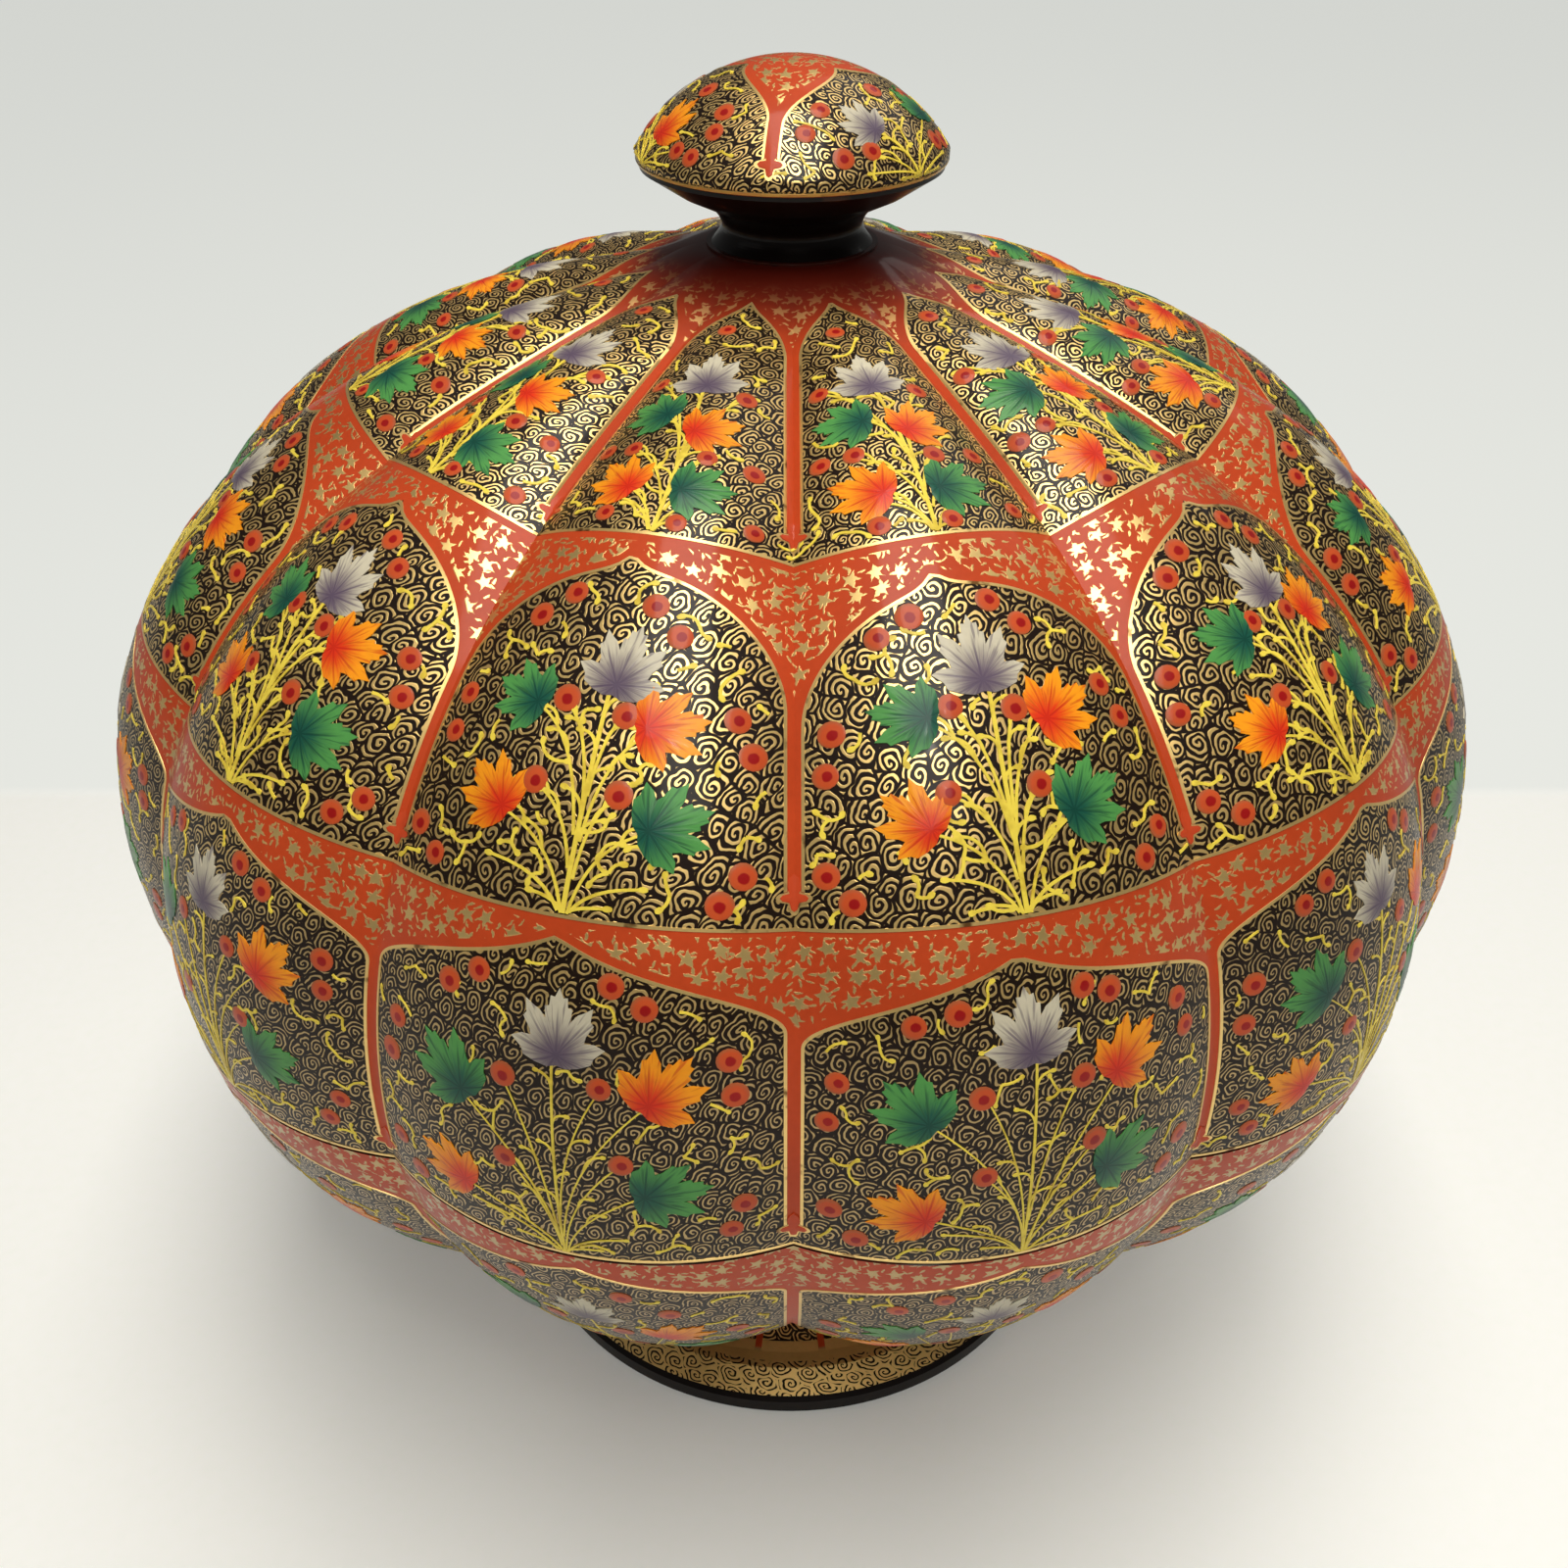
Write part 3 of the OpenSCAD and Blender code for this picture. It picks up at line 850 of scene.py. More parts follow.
def reach_of(tree, vector):
    return vector_calc(tree, "LENGTH", vector, out="Value")


def scaled(tree, vector, factor):
    result = vector_calc(tree, "SCALE", vector)
    feed(tree, result.node.inputs["Scale"], factor)
    return result


def split(tree, vector):
    item = put(tree, "ShaderNodeSeparateXYZ")
    feed(tree, item.inputs[0], vector)
    return item.outputs


def joint_spot(tree, *parts):
    item = put(tree, "ShaderNodeCombineXYZ")
    for socket, part in zip(item.inputs, parts):
        feed(tree, socket, part)
    return item.outputs[0]


def object_spot(tree):
    return put(tree, "ShaderNodeTexCoord").outputs["Object"]


def cells(tree, spot, scale, randomness, feature="F1"):
    item = put(tree, "ShaderNodeTexVoronoi", voronoi_dimensions="2D", feature=feature)
    feed(tree, item.inputs["Vector"], spot)
    item.inputs["Scale"].default_value = scale
    item.inputs["Randomness"].default_value = randomness
    return item.outputs


def chance_of(tree, cell):
    """A random value for each cell."""
    item = put(tree, "ShaderNodeSeparateColor")
    feed(tree, item.inputs[0], cell["Color"])
    return item.outputs[0]


def blend_colour(tree, share, low, high):
    item = put(tree, "ShaderNodeMix", data_type="RGBA")
    feed(tree, item.inputs["Factor"], share)
    feed(tree, item.inputs["A"], low)
    feed(tree, item.inputs["B"], high)
    return item.outputs["Result"]


def blend_value(tree, share, low, high):
    item = put(tree, "ShaderNodeMix", data_type="FLOAT")
    feed(tree, item.inputs[0], share)
    feed(tree, item.inputs[2], low)
    feed(tree, item.inputs[3], high)
    return item.outputs[0]


def ease(tree, value, low, high):
    """0 below low and 1 above high, with a soft step between."""
    item = put(tree, "ShaderNodeMapRange", interpolation_type="SMOOTHSTEP")
    feed(tree, item.inputs["Value"], value)
    feed(tree, item.inputs["From Min"], low)
    feed(tree, item.inputs["From Max"], high)
    return item.outputs["Result"]


def noise(tree, vector, scale, detail=2.0):
    item = put(tree, "ShaderNodeTexNoise")
    feed(tree, item.inputs["Vector"], vector)
    item.inputs["Scale"].default_value = scale
    item.inputs["Detail"].default_value = detail
    return item.outputs["Fac"]


def new_group(name, inputs, outputs):
    tree = bpy.data.node_groups.new(name, "ShaderNodeTree")
    for label, kind in inputs:
        tree.interface.new_socket(name=label, in_out="INPUT", socket_type=kind)
    for label, kind in outputs:
        tree.interface.new_socket(name=label, in_out="OUTPUT", socket_type=kind)
    return tree, put(tree, "NodeGroupInput").outputs, put(tree, "NodeGroupOutput").inputs


def use(tree, shared, **sources):
    item = put(tree, "ShaderNodeGroup")
    item.node_tree = shared
    for name, source in sources.items():
        feed(tree, item.inputs[name], source)
    return item.outputs


# ---- Shared effects ----


def hand_wobble(tree, spot, scale, reach):
    """Strays a flat pattern by up to reach, as a brush held by hand does."""
    sway = put(tree, "ShaderNodeTexNoise", noise_dimensions="2D")
    feed(tree, sway.inputs["Vector"], spot)
    sway.inputs["Scale"].default_value = scale
    offset = vector_calc(tree, "SUBTRACT", sway.outputs["Color"], (0.5, 0.5, 0.5))
    offset = vector_calc(tree, "MULTIPLY", offset, (reach, reach, 0.0))
    return vector_calc(tree, "ADD", spot, offset)


def scroll_group():
    """Gold spirals packed side by side, all turned the same way. Vector is in tenths of a metre."""
    tree, given, result = new_group(
        "gold scrolls",
        [("Vector", "NodeSocketVector"), ("Thin", "NodeSocketFloat")],
        [("Line", "NodeSocketFloat")],
    )
    spot = hand_wobble(tree, scaled(tree, given["Vector"], 100.0), 0.22, 1.9)
    lean = put(tree, "ShaderNodeMapping", vector_type="TEXTURE")
    feed(tree, lean.inputs["Vector"], spot)
    lean.inputs["Rotation"].default_value = (0, 0, math.radians(24))
    lean.inputs["Scale"].default_value = (0.86, 1.12, 1.0)
    spot = lean.outputs["Vector"]
    cell = cells(tree, spot, 0.205, 0.62)
    border = cells(tree, spot, 0.205, 0.62, "DISTANCE_TO_EDGE")
    away = vector_calc(tree, "SUBTRACT", spot, cell["Position"])
    away = vector_calc(tree, "SUBTRACT", away, (0.55, 0.4, 0.0))
    parts = split(tree, away)
    turn = calc(tree, "ARCTAN2", parts["Y"], parts["X"])
    turn = calc(tree, "DIVIDE", turn, 2 * math.pi)
    start = calc(tree, "MULTIPLY_ADD", chance_of(tree, cell), 0.22, 0.35)
    phase = calc(tree, "DIVIDE", reach_of(tree, away), 1.16)
    phase = calc(tree, "SUBTRACT", phase, turn)
    wave = calc(tree, "FRACT", calc(tree, "ADD", phase, start))
    wave = calc(tree, "ABSOLUTE", calc(tree, "SUBTRACT", wave, 0.5))
    wave = calc(tree, "MULTIPLY_ADD", given["Thin"], 0.045, wave)
    line = flip(tree, ease(tree, wave, 0.18, 0.25))
    gap = ease(tree, border["Distance"], 0.045, 0.075)
    feed(tree, result["Line"], calc(tree, "MULTIPLY", line, gap))
    return tree


def star_group():
    """Five-pointed gold stars, turned at random, with flecks between. Vector is in tenths of a metre."""
    tree, given, result = new_group(
        "gold stars", [("Vector", "NodeSocketVector")], [("Star", "NodeSocketFloat")]
    )
    spot = hand_wobble(tree, scaled(tree, given["Vector"], 100.0), 0.5, 0.75)
    spot = hand_wobble(tree, spot, 1.6, 0.5)
    cell = cells(tree, spot, 0.24, 0.5)
    away = vector_calc(tree, "SUBTRACT", spot, cell["Position"])
    reach = reach_of(tree, away)
    parts = split(tree, away)
    turn = calc(tree, "ARCTAN2", parts["Y"], parts["X"])
    turn = calc(tree, "MULTIPLY_ADD", chance_of(tree, cell), 6.28, turn)
    fifth = 2 * math.pi / 5
    turn = calc(tree, "FLOORED_MODULO", turn, fifth)
    turn = calc(tree, "ABSOLUTE", calc(tree, "SUBTRACT", turn, fifth / 2))
    along = calc(tree, "MULTIPLY", reach, calc(tree, "COSINE", turn))
    beside = calc(tree, "MULTIPLY", reach, calc(tree, "SINE", turn))
    edge = calc(tree, "MULTIPLY_ADD", beside, -0.66, along)
    star = flip(tree, ease(tree, edge, 0.62, 0.8))
    dash = cells(tree, spot, 0.5, 0.8)
    lean = put(tree, "ShaderNodeVectorRotate", rotation_type="Z_AXIS")
    feed(tree, lean.inputs["Vector"], vector_calc(tree, "SUBTRACT", spot, dash["Position"]))
    feed(tree, lean.inputs["Angle"], calc(tree, "MULTIPLY", dash["Color"], 9.0))
    stretched = vector_calc(tree, "MULTIPLY", lean.outputs["Vector"], (0.3, 1.0, 0.0))
    mark = flip(tree, ease(tree, reach_of(tree, stretched), 0.15, 0.25))
    feed(tree, result["Star"], calc(tree, "MAXIMUM", star, mark))
    return tree


def lacquer_group():
    """Old lacquer over paint: soft mottling of the colour, uneven gloss and a slightly wavy coat."""
    tree, given, result = new_group(
        "old lacquer",
        [("Color", "NodeSocketColor"), ("Roughness", "NodeSocketFloat"), ("Relief", "NodeSocketFloat")],
        [("Color", "NodeSocketColor"), ("Roughness", "NodeSocketFloat"), ("Height", "NodeSocketFloat")],
    )
    here = object_spot(tree)
    cloud = noise(tree, here, 38.0, 3.0)
    grain = noise(tree, here, 900.0, 2.0)
    dark = calc(tree, "MULTIPLY_ADD", cloud, 0.5, 0.76)
    dark = calc(tree, "MULTIPLY_ADD", grain, 0.16, calc(tree, "SUBTRACT", dark, 0.08))
    feed(tree, result["Color"], scaled(tree, given["Color"], dark))
    rough = calc(tree, "MULTIPLY_ADD", cloud, 0.16, given["Roughness"])
    feed(tree, result["Roughness"], calc(tree, "SUBTRACT", rough, 0.08, clamp=True))
    wave = calc(tree, "MULTIPLY", noise(tree, here, 120.0, 2.0), 0.4)
    height = calc(tree, "MULTIPLY_ADD", grain, 0.06, wave)
    feed(tree, result["Height"], calc(tree, "ADD", height, given["Relief"]))
    return tree


SCROLLS = scroll_group()
STARS = star_group()
LACQUER = lacquer_group()


def lacquered(name, coat=0.34, coat_rough=0.11):
    """A new material with its shader under a clear coat."""
    material = bpy.data.materials.new(name)
    material.use_nodes = True
    tree = material.node_tree
    shader = tree.nodes["Principled BSDF"]
    shader.inputs["Coat Weight"].default_value = coat
    shader.inputs["Coat Roughness"].default_value = coat_rough
    shader.inputs["Coat IOR"].default_value = 1.32
    shader.inputs["Specular IOR Level"].default_value = 0.12
    return material, tree, shader


def finish_paint(tree, shader, colour, rough, relief=0.0, metal=0.0, height=0.00025):
    coat = use(tree, LACQUER, Color=colour, Roughness=rough, Relief=relief)
    feed(tree, shader.inputs["Base Color"], coat["Color"])
    feed(tree, shader.inputs["Roughness"], coat["Roughness"])
    feed(tree, shader.inputs["Metallic"], metal)
    bump = put(tree, "ShaderNodeBump")
    bump.inputs["Strength"].default_value = 0.35
    bump.inputs["Distance"].default_value = height
    feed(tree, bump.inputs["Height"], coat["Height"])
    feed(tree, shader.inputs["Normal"], bump.outputs["Normal"])


def from_axis(tree, here):
    """Distance from the object's upright axis."""
    return reach_of(tree, vector_calc(tree, "MULTIPLY", here, (1.0, 1.0, 0.0)))


def uv_spot(tree, name):
    return put(tree, "ShaderNodeUVMap", uv_map=name).outputs["UV"]


# Heights and distances from the axis in metres, each where a soft change begins and ends.
# Below this height the scroll lines are drawn thinner and the gold is painted darker, as painted shade of
# the down-facing lower rows.
LOW_GOLD_THIN_AND_SHADE_Z = (0.188, 0.21)
# Distance from the axis within which the red round the knob's neck is painted dark, as a painted shadow of
# the knob.
KNOB_SHADE_R = (0.022, 0.046)
FOOT_BAND_Z = (0.0098, 0.0102)
FOOT_STRIPES = 24

GOLD = srgb(230, 196, 126)
# The darker gold of the lower rows: painted shade.
SHADED_LOW_GOLD = srgb(176, 150, 104)
RED = srgb(180, 64, 26)
BLACK = srgb(24, 11, 3)


def panel_paint():
    """Red ground with stars, and black panels with scroll work."""
    material, tree, shader = lacquered("painted panels")
    edge = put(tree, "ShaderNodeAttribute", attribute_name="panel_edge").outputs["Fac"]
    black = ease(tree, edge, -0.06, 0.06)
    here = object_spot(tree)
    level = split(tree, here)["Z"]
    # 1 on the lower rows, where the scroll lines are drawn thinner and the gold is painted darker as painted
    # shade.
    low = flip(tree, ease(tree, level, *LOW_GOLD_THIN_AND_SHADE_Z))
    scroll = use(tree, SCROLLS, Vector=uv_spot(tree, "scrolls"), Thin=low)["Line"]
    star = use(tree, STARS, Vector=uv_spot(tree, "stars"))["Star"]
    star = calc(tree, "MULTIPLY", star, flip(tree, ease(tree, edge, -1.8, -1.55)))
    # Round the knob's neck the red is painted dark red-brown and its gold stars are left out: a painted
    # shadow of the knob.
    below_knob = calc(tree, "LESS_THAN", level, CAP_JOINT_Z * MM - 0.005)
    near_neck = flip(tree, ease(tree, from_axis(tree, here), *KNOB_SHADE_R))
    knob_shade = calc(tree, "MULTIPLY", near_neck, below_knob)
    star = calc(tree, "MULTIPLY", star, flip(tree, knob_shade))
    red = blend_colour(tree, calc(tree, "MULTIPLY", knob_shade, 0.95), RED, srgb(84, 18, 9))
    gold = blend_value(tree, black, star, scroll)
    ground = blend_colour(tree, black, red, BLACK)
    colour = blend_colour(tree, gold, ground, blend_colour(tree, low, GOLD, SHADED_LOW_GOLD))
    rough = blend_value(tree, gold, 0.5, 0.37)
    metal = calc(tree, "MULTIPLY", gold, 0.85)
    finish_paint(tree, shader, colour, rough, gold, metal)
    return material


def gold_line_paint():
    material, tree, shader = lacquered("gold line")
    here = object_spot(tree)
    worn = ease(tree, noise(tree, here, 260.0, 3.0), 0.58, 0.72)
    colour = blend_colour(tree, worn, GOLD, srgb(120, 84, 44))
    finish_paint(tree, shader, colour, 0.36, 0.0, 0.8)
    return material


def yellow_paint():
    material, tree, shader = lacquered("yellow stems")
    here = object_spot(tree)
    thin = ease(tree, noise(tree, here, 300.0, 3.0), 0.45, 0.7)
    colour = blend_colour(tree, thin, srgb(232, 208, 76), srgb(204, 176, 58))
    finish_paint(tree, shader, colour, 0.45)
    return material


def local_place(tree):
    """Flat coordinates on one leaf or berry, with the shift between copies taken out."""
    spot = uv_spot(tree, "local")
    moved = vector_calc(tree, "ADD", spot, (5.0, 5.0, 0.0))
    wrapped = vector_calc(tree, "MODULO", moved, (10.0, 10.0, 1.0))
    return vector_calc(tree, "SUBTRACT", wrapped, (5.0, 5.0, 0.0)), spot


def leaf_paint(name, root, tip, vein):
    """Colour that runs from the leaf's root to its tips, with fine veins that spread from the root."""
    material, tree, shader = lacquered(name)
    spot, whole = local_place(tree)
    parts = split(tree, spot)
    reach = reach_of(tree, spot)
    turn = calc(tree, "ARCTAN2", parts["X"], parts["Y"])
    shift = calc(tree, "ADD", split(tree, whole)["X"], 5.0)
    whorl = calc(tree, "FLOOR", calc(tree, "DIVIDE", shift, 10.0))
    fan = joint_spot(tree, calc(tree, "MULTIPLY", turn, 10.0), calc(tree, "MULTIPLY", reach, 1.6), whorl)
    streak = noise(tree, fan, 1.0, 2.0)
    fine = calc(tree, "MULTIPLY", streak, 0.55)
    share = ease(tree, calc(tree, "ADD", reach, fine), 0.35, 0.95)
    colour = blend_colour(tree, share, root, tip)
    ribs = calc(tree, "FRACT", calc(tree, "MULTIPLY_ADD", turn, 1.53, 0.5))
    ribs = calc(tree, "ABSOLUTE", calc(tree, "SUBTRACT", ribs, 0.5))
    thin = calc(tree, "MULTIPLY", reach, ribs)
    rib = flip(tree, ease(tree, thin, 0.012, 0.035))
    rib = calc(tree, "MULTIPLY", rib, flip(tree, ease(tree, reach, 0.45, 0.8)))
    fan_lines = calc(tree, "MULTIPLY", ease(tree, streak, 0.52, 0.66), 0.6)
    dark = calc(tree, "MAXIMUM", calc(tree, "MULTIPLY", rib, 0.65), fan_lines)
    colour = blend_colour(tree, dark, colour, vein)
    finish_paint(tree, shader, colour, 0.48, calc(tree, "MULTIPLY", dark, -0.4))
    return material


def berry_paint():
    """Salmon-orange berries with a dark red dot set a little off their middle."""
    material, tree, shader = lacquered("berries")
    spot, _ = local_place(tree)
    here = object_spot(tree)
    ragged = calc(tree, "MULTIPLY", noise(tree, here, 700.0, 2.0), 0.2)
    reach = reach_of(tree, vector_calc(tree, "SUBTRACT", spot, (0.1, -0.06, 0.0)))
    reach = calc(tree, "ADD", reach, ragged)
    dot = flip(tree, ease(tree, reach, 0.44, 0.56))
    rim = ease(tree, reach, 0.8, 1.15)
    colour = blend_colour(tree, rim, srgb(188, 76, 36), srgb(164, 86, 50))
    colour = blend_colour(tree, dot, colour, srgb(146, 16, 16))
    finish_paint(tree, shader, colour, 0.45)
    return material


def red_paint():
    material, tree, shader = lacquered("red finials")
    finish_paint(tree, shader, srgb(184, 66, 32), 0.5)
    return material


def plain_lacquer(name, colour, worn_colour, rough, share):
    """One colour of lacquer, rubbed through here and there."""
    material, tree, shader = lacquered(name, coat_rough=0.1)
    here = object_spot(tree)
    worn = ease(tree, noise(tree, here, 85.0, 6.0), share, share + 0.06)
    finish_paint(tree, shader, blend_colour(tree, worn, colour, worn_colour), rough)
    return material


def wood_paint():
    """Plain turned wood, with growth rings and fine lengthways grain."""
    material, tree, shader = lacquered("bare wood", coat=0.0)
    here = object_spot(tree)
    rings = put(tree, "ShaderNodeTexWave", wave_type="RINGS", rings_direction="Z")
    feed(tree, rings.inputs["Vector"], here)
    rings.inputs["Scale"].default_value = 160.0
    rings.inputs["Distortion"].default_value = 4.0
    colour = blend_colour(tree, rings.outputs["Fac"], srgb(196, 152, 100), srgb(160, 112, 66))
    finish_paint(tree, shader, colour, 0.62, rings.outputs["Fac"])
    return material


def foot_paint():
    """Gold band with black scrolls on the foot's slope, black with gold scrolls and red stripes above."""
    material, tree, shader = lacquered("painted foot")
    here = object_spot(tree)
    parts = split(tree, here)
    level = parts["Z"]
    turn = calc(tree, "ARCTAN2", parts["Y"], parts["X"])
    slope = calc(tree, "SUBTRACT", level, from_axis(tree, here))
    round_about = joint_spot(tree, calc(tree, "MULTIPLY", turn, 0.6), calc(tree, "MULTIPLY", slope, 10.0))
    scroll = use(tree, SCROLLS, Vector=round_about, Thin=0.3)["Line"]
    band = flip(tree, ease(tree, level, *FOOT_BAND_Z))
    line = calc(tree, "COMPARE", level, 0.0101, 0.0005)
    gold = blend_value(tree, band, scroll, flip(tree, scroll))
    gold = calc(tree, "MAXIMUM", gold, line)
    beat = calc(tree, "FRACT", calc(tree, "MULTIPLY", turn, FOOT_STRIPES / (2 * math.pi)))
    beat = calc(tree, "ABSOLUTE", calc(tree, "SUBTRACT", beat, 0.5))
    stripe = flip(tree, ease(tree, beat, 0.05, 0.06))
    stripe = calc(tree, "MULTIPLY", stripe, flip(tree, band))
    gold = calc(tree, "MULTIPLY", gold, flip(tree, stripe))
    ground = blend_colour(tree, stripe, BLACK, RED)
    colour = blend_colour(tree, gold, ground, GOLD)
    finish_paint(tree, shader, colour, 0.42, gold, calc(tree, "MULTIPLY", gold, 0.8))
    return material


# ---- Pieces ----


def dress_with(name, material):
    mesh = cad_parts[name].data
    mesh.materials.clear()
    mesh.materials.append(material)


def settle(piece, body, *materials, slot="painted_lacquer"):
    """Gives a painted piece its paints and body; the slot argument is not used. A shell's faces already hold
    their paint's number.
    """
    for material in materials:
        piece.data.materials.append(material)
    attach(piece, body)


def body_of(group):
    return "bowl" if group == "bowl" else "lid"


def shells():
    panel = panel_paint()
    dark_rim = plain_lacquer("dark rim", srgb(72, 24, 13), srgb(36, 15, 9), 0.45, 0.5)
    inner = plain_lacquer("black inside", srgb(30, 20, 15), srgb(52, 34, 22), 0.4, 0.62)
    lid = shell("painted_lid", BODY, lid_rows(), BODY_ROWS[:3], BODY_SLIPS[:3], LOBE_COLUMNS)
    bowl = shell("painted_bowl", BODY, bowl_rows(), BODY_ROWS[3:], BODY_SLIPS[3:], LOBE_COLUMNS)
    cap = shell("painted_cap", CAP, cap_rows(), CAP_ROWS, CAP_SLIPS, CAP_COLUMNS)
    for piece, body in ((lid, "lid"), (bowl, "bowl"), (cap, "lid")):
        settle(piece, body, panel, dark_rim, inner)
    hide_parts("lid_shell")
    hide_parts("bowl_shell")
    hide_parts("knob_cap")


def leaves():
    leaf = leaf_shape()
    paints = {
        "white": leaf_paint("white leaf", srgb(98, 84, 98), srgb(196, 188, 164), srgb(82, 68, 88)),
        "green": leaf_paint("green leaf", srgb(20, 78, 64), srgb(78, 144, 72), srgb(10, 56, 46)),
        "orange": leaf_paint("orange leaf", srgb(212, 48, 18), srgb(238, 150, 24), srgb(184, 34, 16)),
    }
    for group in GROUPS:
        for colour, paint in paints.items():
            chance = np.random.default_rng(DECOR_SEED)
            spots = leaf_spots(group, colour, chance)
            piece = stamp(f"{group}_{colour}_leaves", GROUPS[group][0], leaf, spots)
            settle(piece, body_of(group), paint)


def berries():
    berry = berry_shape()
    paint = berry_paint()
    for group in GROUPS:
        spots = berry_spots(group, np.random.default_rng(DECOR_SEED + 1))
        settle(stamp(f"{group}_berries", GROUPS[group][0], berry, spots), body_of(group), paint)


def stems():
    paint = yellow_paint()
    for group in GROUPS:
        chance = np.random.default_rng(DECOR_SEED + 2)
        main = stem_lines(group, chance)
        curls = curl_lines(main, group, chance)
        sprigs = sprig_lines(group, main, chance)
        for label, found, points, blob in (
            ("stems", main, 16, 1.2), ("curls", curls, 11, 1.9), ("sprigs", sprigs, 8, 1.9)
        ):
            piece = stroke_piece(f"{group}_{label}", group, found, points, blob)
            settle(piece, body_of(group), paint)


def lines():
    gold = gold_line_paint()
    red = red_paint()
    parts = (
        ("lid", BODY, BODY_ROWS, BODY_SLIPS, [0, 1, 2]),
        ("bowl", BODY, BODY_ROWS, BODY_SLIPS, [3]),
        ("cap", CAP, CAP_ROWS, CAP_SLIPS, [0]),
    )
    for group, skin, rows, slips, chosen in parts:
        piece = panel_lines(f"{group}_panel_lines", skin, rows, slips, chosen)
        settle(piece, body_of(group), gold)
    settle(ring_lines("lid_ring_lines", BODY, [LINE_T[0], LINE_T[1], LID_RING_T]), "lid", gold)
    settle(ring_lines("bowl_ring_lines", BODY, [LINE_T[3]]), "bowl", gold)
    settle(ring_lines("cap_ring_line", CAP, [CAP_RING_T]), "lid", gold)
    finials = (("edges", gold, 2.95, 0.14, 1.0), ("crosses", red, 2.3, 0.24, 1.7))
    for label, paint, size, top, reach_up in finials:
        finial = finial_shape(top, reach_up)
        for group, skin, rows, _, chosen in parts:
            spots = finial_spots(rows, skin["panels"], chosen, size)
            settle(stamp(f"{group}_finial_{label}", skin, finial, spots), body_of(group), paint)


def carried_over_nodes():
    black = plain_lacquer("black lacquer", srgb(20, 12, 9), srgb(60, 34, 20), 0.34, 0.64)
    dress_with("base_board", black)
    dress_with("knob_stem", black)
    dress_with("foot", foot_paint())
    dull_gold = plain_lacquer("dull gold collar", srgb(158, 116, 58), srgb(108, 72, 36), 0.42, 0.58)
    dress_with("bowl_collar", dull_gold)
    dress_with("crown_washer", dull_gold)
    dress_with("knob_dowel", wood_paint())


# ---- Stage ----

# Fitted to rings and valleys seen in the photograph: millimetres, metres, and degrees below the level.
SENSOR = 36.0
LENS = 35.98
CAMERA_SPOT = (-0.001583, -0.317061, 0.364700)
CAMERA_DOWN = 34.641


def floor():
    """A large pale floor, a little greyer behind the object, with a faint cloth grain."""
    deselect()
    bpy.ops.mesh.primitive_plane_add(size=12, location=(0, 3, 0))
    piece = bpy.context.object
    piece.name = "floor"
    material = bpy.data.materials.new("pale floor")
    material.use_nodes = True
    tree = material.node_tree
    shader = tree.nodes["Principled BSDF"]
    shader.inputs["Roughness"].default_value = 0.75
    shader.inputs["Specular IOR Level"].default_value = 0.2
    here = object_spot(tree)
    far = ease(tree, split(tree, here)["Y"], -2.8, -2.79)
    cloth = noise(tree, here, 300.0, 2.0)
    near_colour = blend_colour(tree, cloth, srgb(236, 237, 233), srgb(242, 243, 239))
    colour = blend_colour(tree, far, near_colour, srgb(222, 224, 219))
    feed(tree, shader.inputs["Base Color"], blend_colour(tree, far, near_colour, srgb(128, 129, 126)))
    seen = put(tree, "ShaderNodeLightPath")
    rays = seen.outputs
    looked_at = calc(tree, "MULTIPLY_ADD", rays["Is Glossy Ray"], 0.5, rays["Is Camera Ray"])
    feed(tree, shader.inputs["Emission Color"], colour)
    away = reach_of(tree, vector_calc(tree, "ADD", here, (0.0, 3.0, 0.0)))
    near_glow = blend_value(tree, ease(tree, away, 0.5, 2.6), 0.155, 0.84)
    glow = calc(tree, "MULTIPLY", looked_at, blend_value(tree, far, near_glow, 0.84))
    feed(tree, shader.inputs["Emission Strength"], glow)
    piece.data.materials.append(material)


def lamp(name, spot, aim, size, power, colour):
    data = bpy.data.lights.new(name, "AREA")
    data.shape = "RECTANGLE"
    data.size, data.size_y = size
    data.energy = power
    data.color = colour
    item = bpy.data.objects.new(name, data)
    bpy.context.scene.collection.objects.link(item)
    item.location = spot
    away = np.array(spot) - np.array(aim)
    item.rotation_euler = (
        math.atan2(math.hypot(away[0], away[1]), away[2]),
        0,
        math.atan2(away[0], -away[1]),
    )


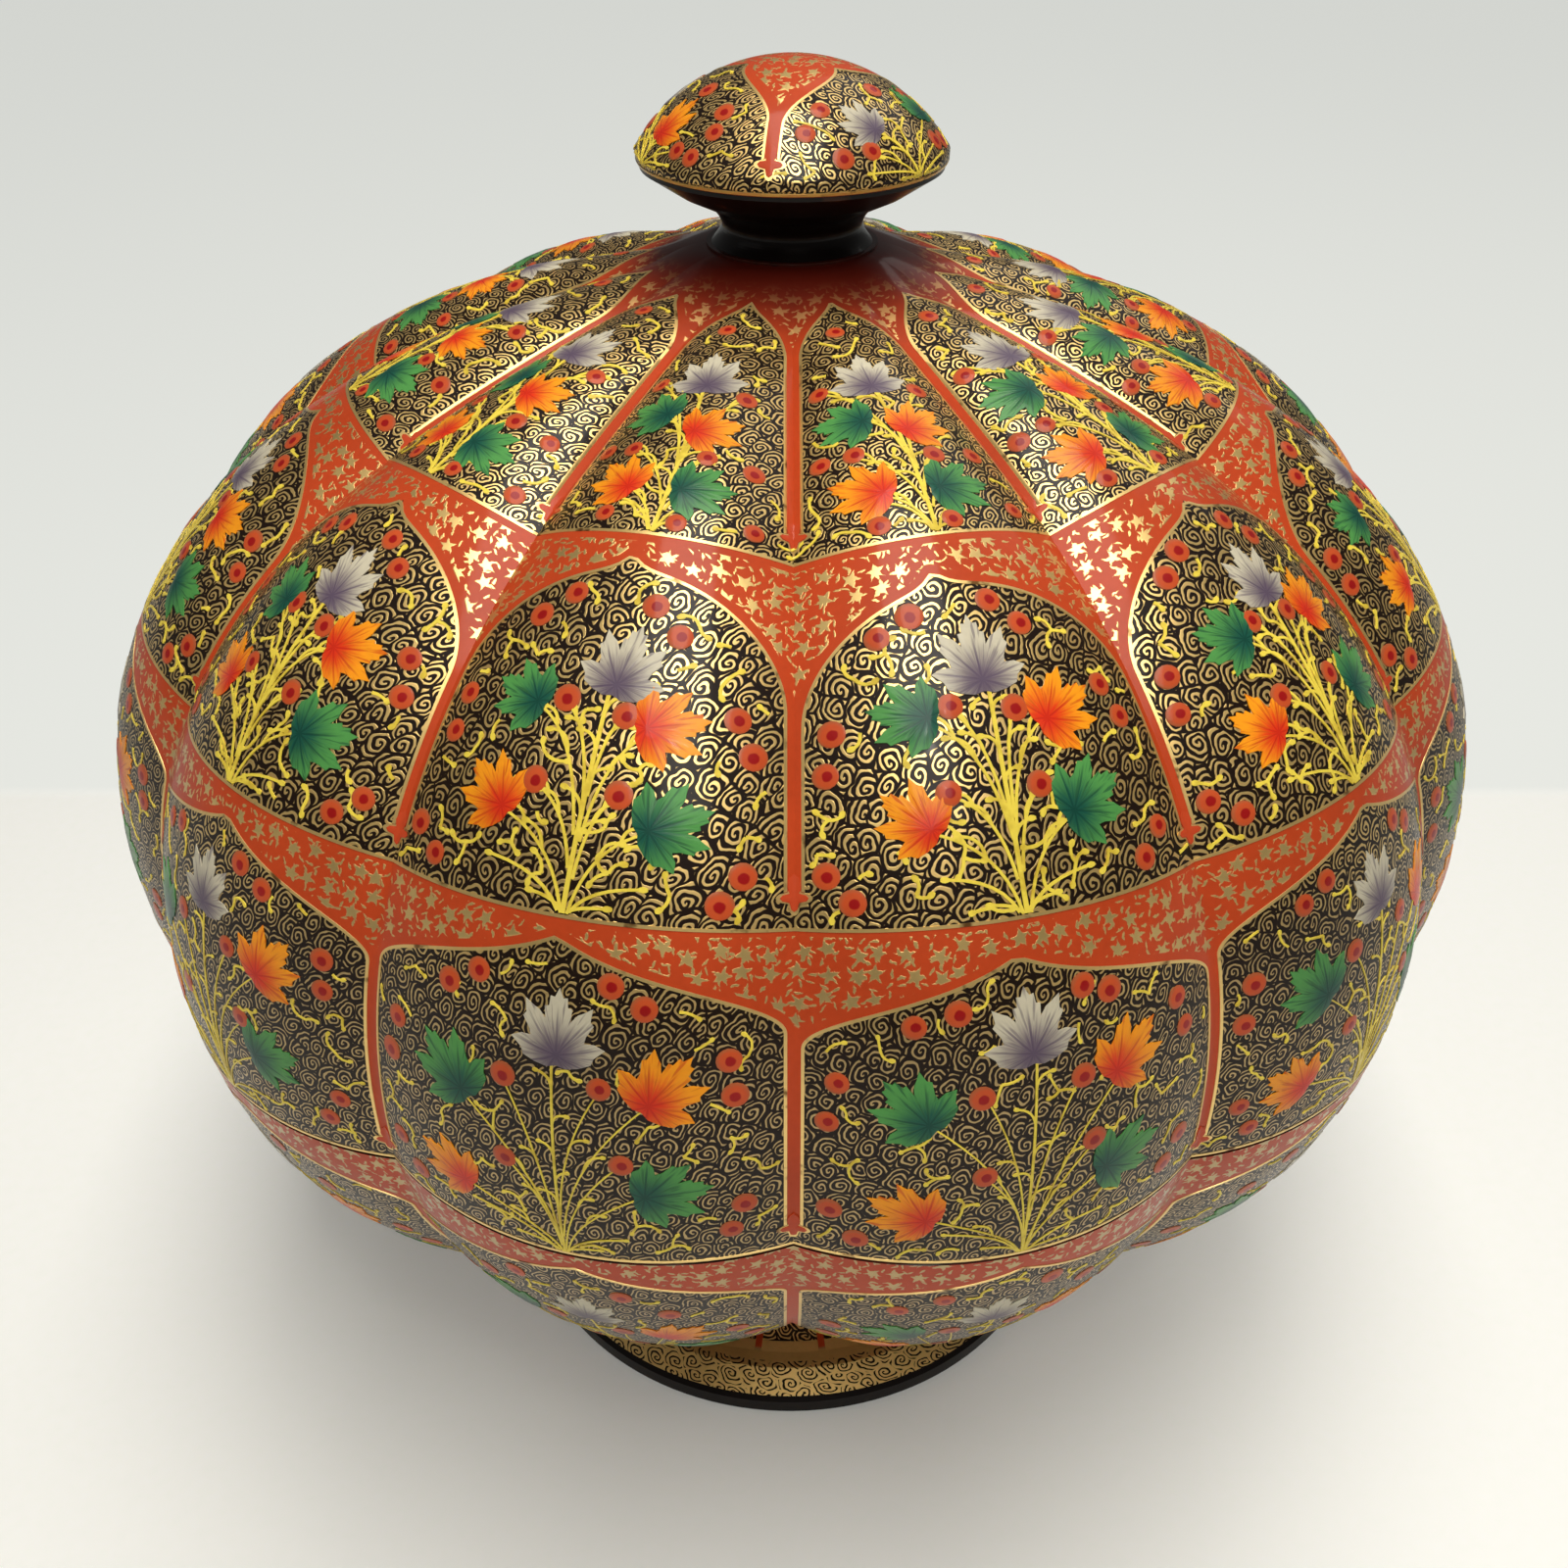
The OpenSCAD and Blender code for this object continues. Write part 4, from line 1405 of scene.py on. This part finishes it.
def lights():
    lamp("ceiling_lamp", (0.04, -0.27, 1.35), (0.04, -0.27, 0.2), (0.5, 1.0), 14.0, (1.0, 0.965, 0.91))
    lamp("front_lamp", (0.14, -0.98, 1.3), (0, 0, 0.2), (0.45, 0.4), 3.2, (1.0, 0.97, 0.9))
    lamp("bulb", (0.11, -0.8, 1.35), (0, 0, 0.2), (0.07, 0.07), 0.6, (1.0, 0.97, 0.9))
    lamp("left_lamp", (-1.1, -0.3, 1.2), (0, 0, 0.15), (1.1, 1.1), 0.6, (1.0, 0.99, 0.97))
    lamp("back_lamp", (0.6, 0.8, 1.25), (0, 0, 0.15), (0.9, 0.9), 3.0, (1.0, 0.98, 0.94))
    world = bpy.data.worlds.new("studio")
    bpy.context.scene.world = world
    world.use_nodes = True
    sky = world.node_tree.nodes["Background"]
    sky.inputs["Color"].default_value = (1.0, 0.99, 0.965, 1)
    seen = put(world.node_tree, "ShaderNodeLightPath")
    strength = calc(world.node_tree, "MULTIPLY_ADD", seen.outputs["Is Camera Ray"], 0.6, 0.12)
    feed(world.node_tree, sky.inputs["Strength"], strength)


def camera():
    """Stands at the photograph's viewpoint: 35 degrees above the level, close to the object."""
    data = bpy.data.cameras.new("camera")
    data.sensor_width = SENSOR
    data.lens = LENS
    data.clip_start = 0.01
    item = bpy.data.objects.new("camera", data)
    bpy.context.scene.collection.objects.link(item)
    item.location = CAMERA_SPOT
    item.rotation_euler = (math.radians(90 - CAMERA_DOWN), 0, 0)
    bpy.context.scene.camera = item


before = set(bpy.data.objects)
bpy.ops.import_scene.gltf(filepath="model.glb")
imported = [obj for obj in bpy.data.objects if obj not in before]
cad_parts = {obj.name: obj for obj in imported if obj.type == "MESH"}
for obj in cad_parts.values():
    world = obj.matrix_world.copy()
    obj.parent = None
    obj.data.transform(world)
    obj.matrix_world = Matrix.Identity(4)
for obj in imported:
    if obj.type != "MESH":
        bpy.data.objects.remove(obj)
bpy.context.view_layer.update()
shells()
lines()
leaves()
berries()
stems()
carried_over_nodes()
floor()
lights()
camera()
bpy.context.scene.view_settings.view_transform = "Standard"
